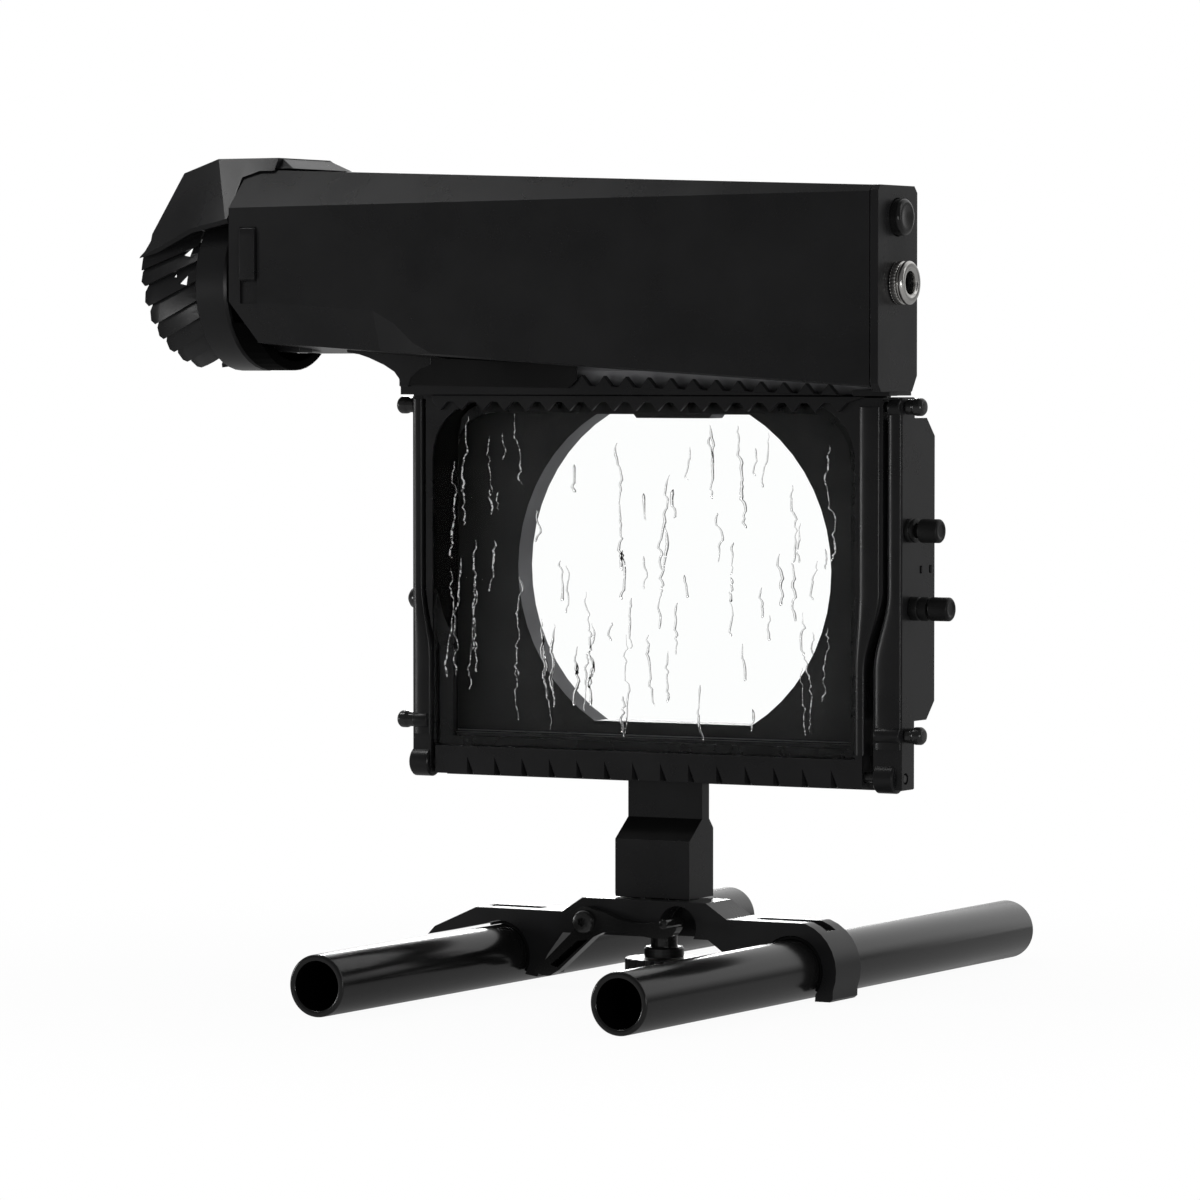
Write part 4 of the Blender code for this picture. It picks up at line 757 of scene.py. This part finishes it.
def build_skirts():
    """Strips that carry the visor's front and rear edges down to the first scale."""
    for name, side in (("skirt_front", -1), ("skirt_rear", 1)):
        bm = bmesh.new()
        columns = []
        for i in range(SKIRT_COLUMNS + 1):
            share = i / SKIRT_COLUMNS
            x = SKIRT_LEFT - SKIRT_LENGTH * share
            top = SKIRT_TOP - SKIRT_FALL * share
            column = []
            for k in range(SKIRT_ROWS + 1):
                z = top - (SKIRT_HEIGHT - SKIRT_NARROWING * share) * k / SKIRT_ROWS
                for r in (SKIRT_OUTER, SKIRT_INNER):
                    y = FAN_CENTRE[0] + side * math.sqrt(r ** 2 - (z - FAN_CENTRE[1]) ** 2)
                    column.append(bm.verts.new(place(x, y, z)))
            columns.append(column)
        for a, b in zip(columns, columns[1:]):
            for k in range(SKIRT_ROWS):
                bm.faces.new((a[2 * k], a[2 * k + 2], b[2 * k + 2], b[2 * k]))
                bm.faces.new((a[2 * k + 1], b[2 * k + 1], b[2 * k + 3], a[2 * k + 3]))
            bm.faces.new((a[0], b[0], b[1], a[1]))
            bm.faces.new((a[-2], a[-1], b[-1], b[-2]))
        for column in (columns[0], columns[-1]):
            for k in range(SKIRT_ROWS):
                bm.faces.new((column[2 * k], column[2 * k + 1], column[2 * k + 3], column[2 * k + 2]))
        keep(name, bm, "duct", "intake", (), 40)


TAIL_LEFT = -136.5
TAIL_TOP = -135.7
TAIL_FOOT = -129.5
TAIL_HIGH = 253.6
TAIL_LOW = 250.1
# Depths of the tail's upper front and rear edges, and how far each lies further out at its foot
TAIL_FRONT = 115.5
TAIL_REAR = 144.3
TAIL_FRONT_FLARE = 3.6
TAIL_REAR_FLARE = 4.3


def build_tail():
    """The sloping end of the cowl that runs out on the duct's top."""
    bm = bmesh.new()
    corners = (
        (TAIL_LEFT, TAIL_HIGH, 0), (TAIL_TOP, TAIL_HIGH, 0),
        (TAIL_FOOT, TAIL_LOW, 1), (TAIL_LEFT, TAIL_LOW, 1),
    )
    front = [bm.verts.new(place(x, TAIL_FRONT - TAIL_FRONT_FLARE * low, z)) for x, z, low in corners]
    back = [bm.verts.new(place(x, TAIL_REAR + TAIL_REAR_FLARE * low, z)) for x, z, low in corners]
    skin(bm, [front, back])
    tail = keep("hood_tail", bm, "duct", "intake", (), 30)
    round_edges(tail, 0.3)


# Under the duct's left end

APRON_OUTLINE = (
    (-109.5, 190.9), (-105.0, 190.3), (-101.3, 189.2), (-95.6, 186.9), (-91.8, 184.7), (-89.9, 182.4),
    (-89.9, 180.0), (-86.6, 180.0), (-85.4, 183.0), (-82.0, 185.6), (-78.0, 187.0), (-78.0, 193.0),
    (-109.5, 194.0),
)
DUCT_PLUG = ((-141.0, 191.2), (-131.0, 190.8), (-131.0, 194.8), (-141.0, 194.8))
ARM_PLUG = ((-87.2, 176.0), (-80.0, 176.0), (-80.0, 178.6), (-87.2, 178.6))
SCREEN_OUTLINE = ((-89.6, 180.6), (-28.0, 179.6), (-25.0, 182.0), (-25.0, 187.0), (-89.6, 190.0))


def build_fairing():
    """The apron under the duct's left end with two small plugs, and the air outlet's dark strip."""
    bm = bmesh.new()
    slab(bm, APRON_OUTLINE, 111.8, 112.9)
    slab(bm, DUCT_PLUG, 118.0, 126.0)
    slab(bm, ARM_PLUG, 116.2, 118.8)
    apron = keep("apron", bm, "duct", "carriage", (), 30)
    round_edges(apron, 0.4)
    bm = bmesh.new()
    slab(bm, SCREEN_OUTLINE, 112.1, 112.8)
    screen = keep("outlet_screen", bm, "shade", "carriage", (), 30)
    round_edges(screen, 0.3)


# Studio

CAMERA_PLACE = (898.9, -1532.6, 188.5)
CAMERA_TURN = math.radians(29.1)
CAMERA_PITCH = math.atan(240 / 6000)
CAMERA_LENS = 180.0
CAMERA_SENSOR = 36.0
CAMERA_NEAR = 0.05


def build_camera():
    """The photo's camera, fitted to the outlines of the rods, the door and the duct."""
    camera = bpy.data.cameras.new("camera")
    camera.lens = CAMERA_LENS
    camera.sensor_width = CAMERA_SENSOR
    camera.clip_start = CAMERA_NEAR
    obj = bpy.data.objects.new("camera", camera)
    bpy.context.scene.collection.objects.link(obj)
    level = math.cos(CAMERA_PITCH)
    look = Vector((-math.sin(CAMERA_TURN) * level, math.cos(CAMERA_TURN) * level, -math.sin(CAMERA_PITCH)))
    obj.location = place(*CAMERA_PLACE)
    obj.rotation_euler = look.to_track_quat("-Z", "Y").to_euler()
    bpy.context.scene.camera = obj


# Name, design point aimed at, metres from there to the lamp, width and height in metres, and watts
LIGHTS = (
    ("upper_left", (-140, 105, 245), (-0.654, -0.24, 0.984), (0.22, 0.45), 2.6),
    ("side_strip", (0, 116, 120), (-1.14, -0.74, 0.0), (0.22, 0.2), 2.0),
    ("rod_tops", (-52, 30, 9.5), (-0.546, 1.118, 0.39), (0.25, 0.25), 4.2),
    ("front_right", (0, 116, 120), (1.1, -0.88, 0.0), (0.34, 0.3), 2.4),
    ("right", (40, 120, 110), (1.2, 0.35, 0.55), (0.5, 1.2), 2.0),
)


def build_lights():
    """Soft boxes on the left for the cowl, the bars and the rods, and two on the right for the end faces."""
    for name, target, offset, size, power in LIGHTS:
        light = bpy.data.lights.new(name, "AREA")
        light.shape = "RECTANGLE"
        light.size, light.size_y = size
        light.energy = power
        obj = bpy.data.objects.new(name, light)
        bpy.context.scene.collection.objects.link(obj)
        obj.location = place(*target) + Vector(offset)
        obj.rotation_euler = (-Vector(offset)).to_track_quat("-Z", "Y").to_euler()


# What reflections see: dim in front, pale behind, dimmer low on the right, and a grey floor
FRONT_TONE = (0.13, 0.13, 0.13)
BACK_TONE = (0.85, 0.85, 0.85)
FLOOR_TONE = (0.34, 0.34, 0.34)
AMBIENT_TONE = (0.5, 0.5, 0.51)
LOW_RIGHT_SHARE = 0.2
# Where those tones change: shares of the way from front to back, and parts of the direction's X and Z
FRONT_TO_BACK = (0.56, 0.84)
TO_RIGHT = (0.2, 0.46)
TO_LOW = (0.08, 0.3)


def ray_kinds(nodes, links):
    """Two factors: one is 1 for rays from the camera, also through glass, the other for reflected rays."""
    path = nodes.new("ShaderNodeLightPath")

    def maths(operation, a, b):
        node = nodes.new("ShaderNodeMath")
        node.operation = operation
        for socket, value in zip(node.inputs, (a, b)):
            if isinstance(value, float):
                socket.default_value = value
            else:
                links.new(value, socket)
        return node.outputs["Value"]

    bounced = maths("ADD", path.outputs["Glossy Depth"], path.outputs["Diffuse Depth"])
    seen = maths("LESS_THAN", bounced, 0.5)
    mirrored = maths("GREATER_THAN", path.outputs["Glossy Depth"], 0.5)
    return seen, mirrored


def background(nodes, colour=None):
    node = nodes.new("ShaderNodeBackground")
    if colour:
        node.inputs["Color"].default_value = (*colour, 1)
    return node


def mixed(nodes, links, factor, first, second):
    """A mix of two shader outputs, the second where the factor is 1."""
    node = nodes.new("ShaderNodeMixShader")
    for socket, output in zip(node.inputs, (factor, first, second)):
        links.new(output, socket)
    return node.outputs["Shader"]


def build_world():
    """White where it is seen; in reflections white behind the object and dim in front, as in a studio."""
    world = bpy.data.worlds.new("studio")
    bpy.context.scene.world = world
    world.use_nodes = True
    nodes, links = world.node_tree.nodes, world.node_tree.links
    nodes.clear()
    output = nodes.new("ShaderNodeOutputWorld")
    seen, mirrored = ray_kinds(nodes, links)
    coords = nodes.new("ShaderNodeTexCoord")
    split = nodes.new("ShaderNodeSeparateXYZ")
    links.new(coords.outputs["Generated"], split.inputs["Vector"])
    depth = map_range(nodes, links, split.outputs["Y"], -1.0, 1.0, 0.0, 1.0)
    stops = zip(FRONT_TO_BACK, (FRONT_TONE, BACK_TONE))
    ramp = two_stops(nodes, links, depth.outputs["Result"], stops)
    lift = map_range(nodes, links, split.outputs["Z"], *TO_LOW, LOW_RIGHT_SHARE, 1.0)
    fade = map_range(nodes, links, split.outputs["X"], *TO_RIGHT, 1.0, 1.0)
    links.new(lift.outputs["Result"], fade.inputs["To Max"])
    toned = nodes.new("ShaderNodeVectorMath")
    toned.operation = "SCALE"
    links.new(ramp.outputs["Color"], toned.inputs[0])
    links.new(fade.outputs["Result"], toned.inputs["Scale"])
    reflected = background(nodes)
    links.new(toned.outputs["Vector"], reflected.inputs["Color"])
    ambient, white = background(nodes, AMBIENT_TONE), background(nodes, WHITE)
    unseen = mixed(nodes, links, mirrored, ambient.outputs["Background"], reflected.outputs["Background"])
    links.new(mixed(nodes, links, seen, unseen, white.outputs["Background"]), output.inputs["Surface"])


FLOOR_SIZE = 8.0
FLOOR_DROP = 0.0002
FLOOR_PAINT = (0.8, 0.8, 0.8)
SHADOW_NEAR = 0.08
SHADOW_REACH = 0.36
# Share of the floor's own white under the object; the rest takes light and shadow
SHADOW_WHITE = 0.95


def emission(nodes, colour):
    node = nodes.new("ShaderNodeEmission")
    node.inputs["Color"].default_value = (*colour, 1)
    return node.outputs["Emission"]


def floor_material():
    """White where it is seen, with a soft shadow near the middle; grey in reflections."""
    mat = bpy.data.materials.new("pale_floor")
    mat.use_nodes = True
    nodes, links = mat.node_tree.nodes, mat.node_tree.links
    nodes.clear()
    output = nodes.new("ShaderNodeOutputMaterial")
    paint = nodes.new("ShaderNodeBsdfDiffuse")
    paint.inputs["Color"].default_value = (*FLOOR_PAINT, 1)
    seen, mirrored = ray_kinds(nodes, links)
    coords = nodes.new("ShaderNodeTexCoord")
    reach = nodes.new("ShaderNodeVectorMath")
    reach.operation = "LENGTH"
    links.new(coords.outputs["Object"], reach.inputs[0])
    white = map_range(nodes, links, reach.outputs["Value"], SHADOW_NEAR, SHADOW_REACH, SHADOW_WHITE, 1.0)
    white.interpolation_type = "SMOOTHSTEP"
    share = nodes.new("ShaderNodeMath")
    share.operation = "MULTIPLY"
    links.new(seen, share.inputs[0])
    links.new(white.outputs["Result"], share.inputs[1])
    unseen = mixed(nodes, links, mirrored, paint.outputs["BSDF"], emission(nodes, FLOOR_TONE))
    surface = mixed(nodes, links, share.outputs["Value"], unseen, emission(nodes, WHITE))
    links.new(surface, output.inputs["Surface"])
    return mat


def build_floor():
    """A wide floor just under the object."""
    bm = bmesh.new()
    bmesh.ops.create_grid(bm, x_segments=1, y_segments=1, size=FLOOR_SIZE)
    mesh = bpy.data.meshes.new("floor")
    bm.to_mesh(mesh)
    bm.free()
    floor = bpy.data.objects.new("floor", mesh)
    bpy.context.scene.collection.objects.link(floor)
    floor.location.z = -FLOOR_DROP
    mesh.materials.append(floor_material())


# Finishes of the CAD nodes

LENS_CENTRE = (0.0, 122.5)
LENS_WALL_R = 57.0
RAIL_END = 79.0
LATCH_FRONT = 97.8
# The cowl's lower rear corner: what lies right of this X, before this Y and below this Z moves to Y and Z
HOOD_FOOT_LEFT = -142.0
HOOD_FOOT = (109.9, 249.5)
# The seal's faces left of this X lie in the deep slot and get painted shade, the near-black inner finish
SEAL_SHADE_SPLIT = -70.0

# Widths of the rounded edges, by finish
ROUNDED = {
    "body": {"clamp_bridge": 0.6, "riser_bracket": 0.7, "door_frame": 0.5, "side_plate_left": 1.1,
             "control_housing": 0.9, "control_cover": 0.3, "nozzle_rail": 0.4, "clamp_knob": 0.3},
    "duct": {"duct_front_shell": 0.5, "duct_rear_shell": 0.5, "end_cap": 0.6},
}
ROUNDED_PLASTIC = {"intake_latch": 0.3, "upper_comb": 0.15, "lower_comb": 0.15, "intake_grille": 0.2}
KEPT = {
    "inner": ("fan_throat", "fan_collar", "fan_bulkhead", "impeller"),
    "rubber": ("jaw_liner_left", "jaw_liner_right"),
    "dark_steel": ("fan_guard", "clamp_washer", "clamp_stud", "hinge_pin_left", "hinge_pin_right"),
    "steel": ("twist_pin_left", "twist_pin_right", "neck_screw_left", "neck_screw_right", "socket_nut",
              "fan_motor", "fan_shaft"),
    "satin": ("air_vane",),
    "board": ("control_board",),
    "light": ("light_window_front", "light_window_rear"),
    "glass": ("glass_pane",),
}


def trim_pieces():
    """Small corrections towards the photo: the cowl's foot, the latch's front and the rail's right end."""
    foot = place(HOOD_FOOT_LEFT, *HOOD_FOOT)
    for vert in bpy.data.objects["intake_hood_piece"].data.vertices:
        if vert.co.x > foot.x and vert.co.y < foot.y and vert.co.z < foot.z:
            vert.co.y, vert.co.z = foot.y, foot.z
    for vert in bpy.data.objects["intake_latch_piece"].data.vertices:
        vert.co.y = max(vert.co.y, place(0, LATCH_FRONT, 0).y)
    edge = place(RAIL_END, 0, 0).x
    for vert in bpy.data.objects["nozzle_rail_piece"].data.vertices:
        vert.co.x = min(vert.co.x, edge)


def finish_nodes():
    """Rounded copies of the CAD nodes with their finishes, and finishes for the nodes kept as they are."""
    for mat, widths in ROUNDED.items():
        for node, width in widths.items():
            softened(node, mat, width, angle=FACET_ANGLE if mat == "duct" else EDGE_ANGLE)
    softened("intake_hood", "duct", 0.4, angle=FACET_ANGLE)
    for node, width in ROUNDED_PLASTIC.items():
        softened(node, "duct", width)
    trim_pieces()
    seal = frame["nodes"]["door_seal"].data
    seal.materials.clear()
    seal.materials.append(MATS["plate"])
    split = place(SEAL_SHADE_SPLIT, 0, 0).x
    # Painted shade on the seal's faces in the slot
    add_second(seal, "inner", lambda face: face.center.x < split)
    housing = softened("rear_housing", "plate", 0.4)
    centre = place(LENS_CENTRE[0], 0, LENS_CENTRE[1])

    def on_lens_wall(face):
        off = math.hypot(face.center.x - centre.x, face.center.z - centre.z)
        return abs(face.normal.y) < 0.3 and off < LENS_WALL_R * MM

    add_second(housing.data, "lens_wall", on_lens_wall)
    riser = bpy.data.objects["riser_bracket_piece"].data
    # Painted shade: the riser's sloped faces that look up and forward get the darker matt black
    add_second(riser, "shade", lambda face: face.normal.y < -0.4 and face.normal.z > 0.3)
    for mat, names in KEPT.items():
        for name in names:
            mesh = frame["nodes"][name].data
            mesh.materials.clear()
            mesh.materials.append(MATS[mat])


build_camera()
build_world()
build_floor()
build_lights()
finish_nodes()
build_rods()
build_lever()
build_screws()
build_pegs()
build_knobs()
build_end_fittings()
build_arms()
build_slot_shade()
build_skirts()
build_tail()
build_fairing()
build_water()
bpy.context.scene.view_settings.view_transform = "Standard"
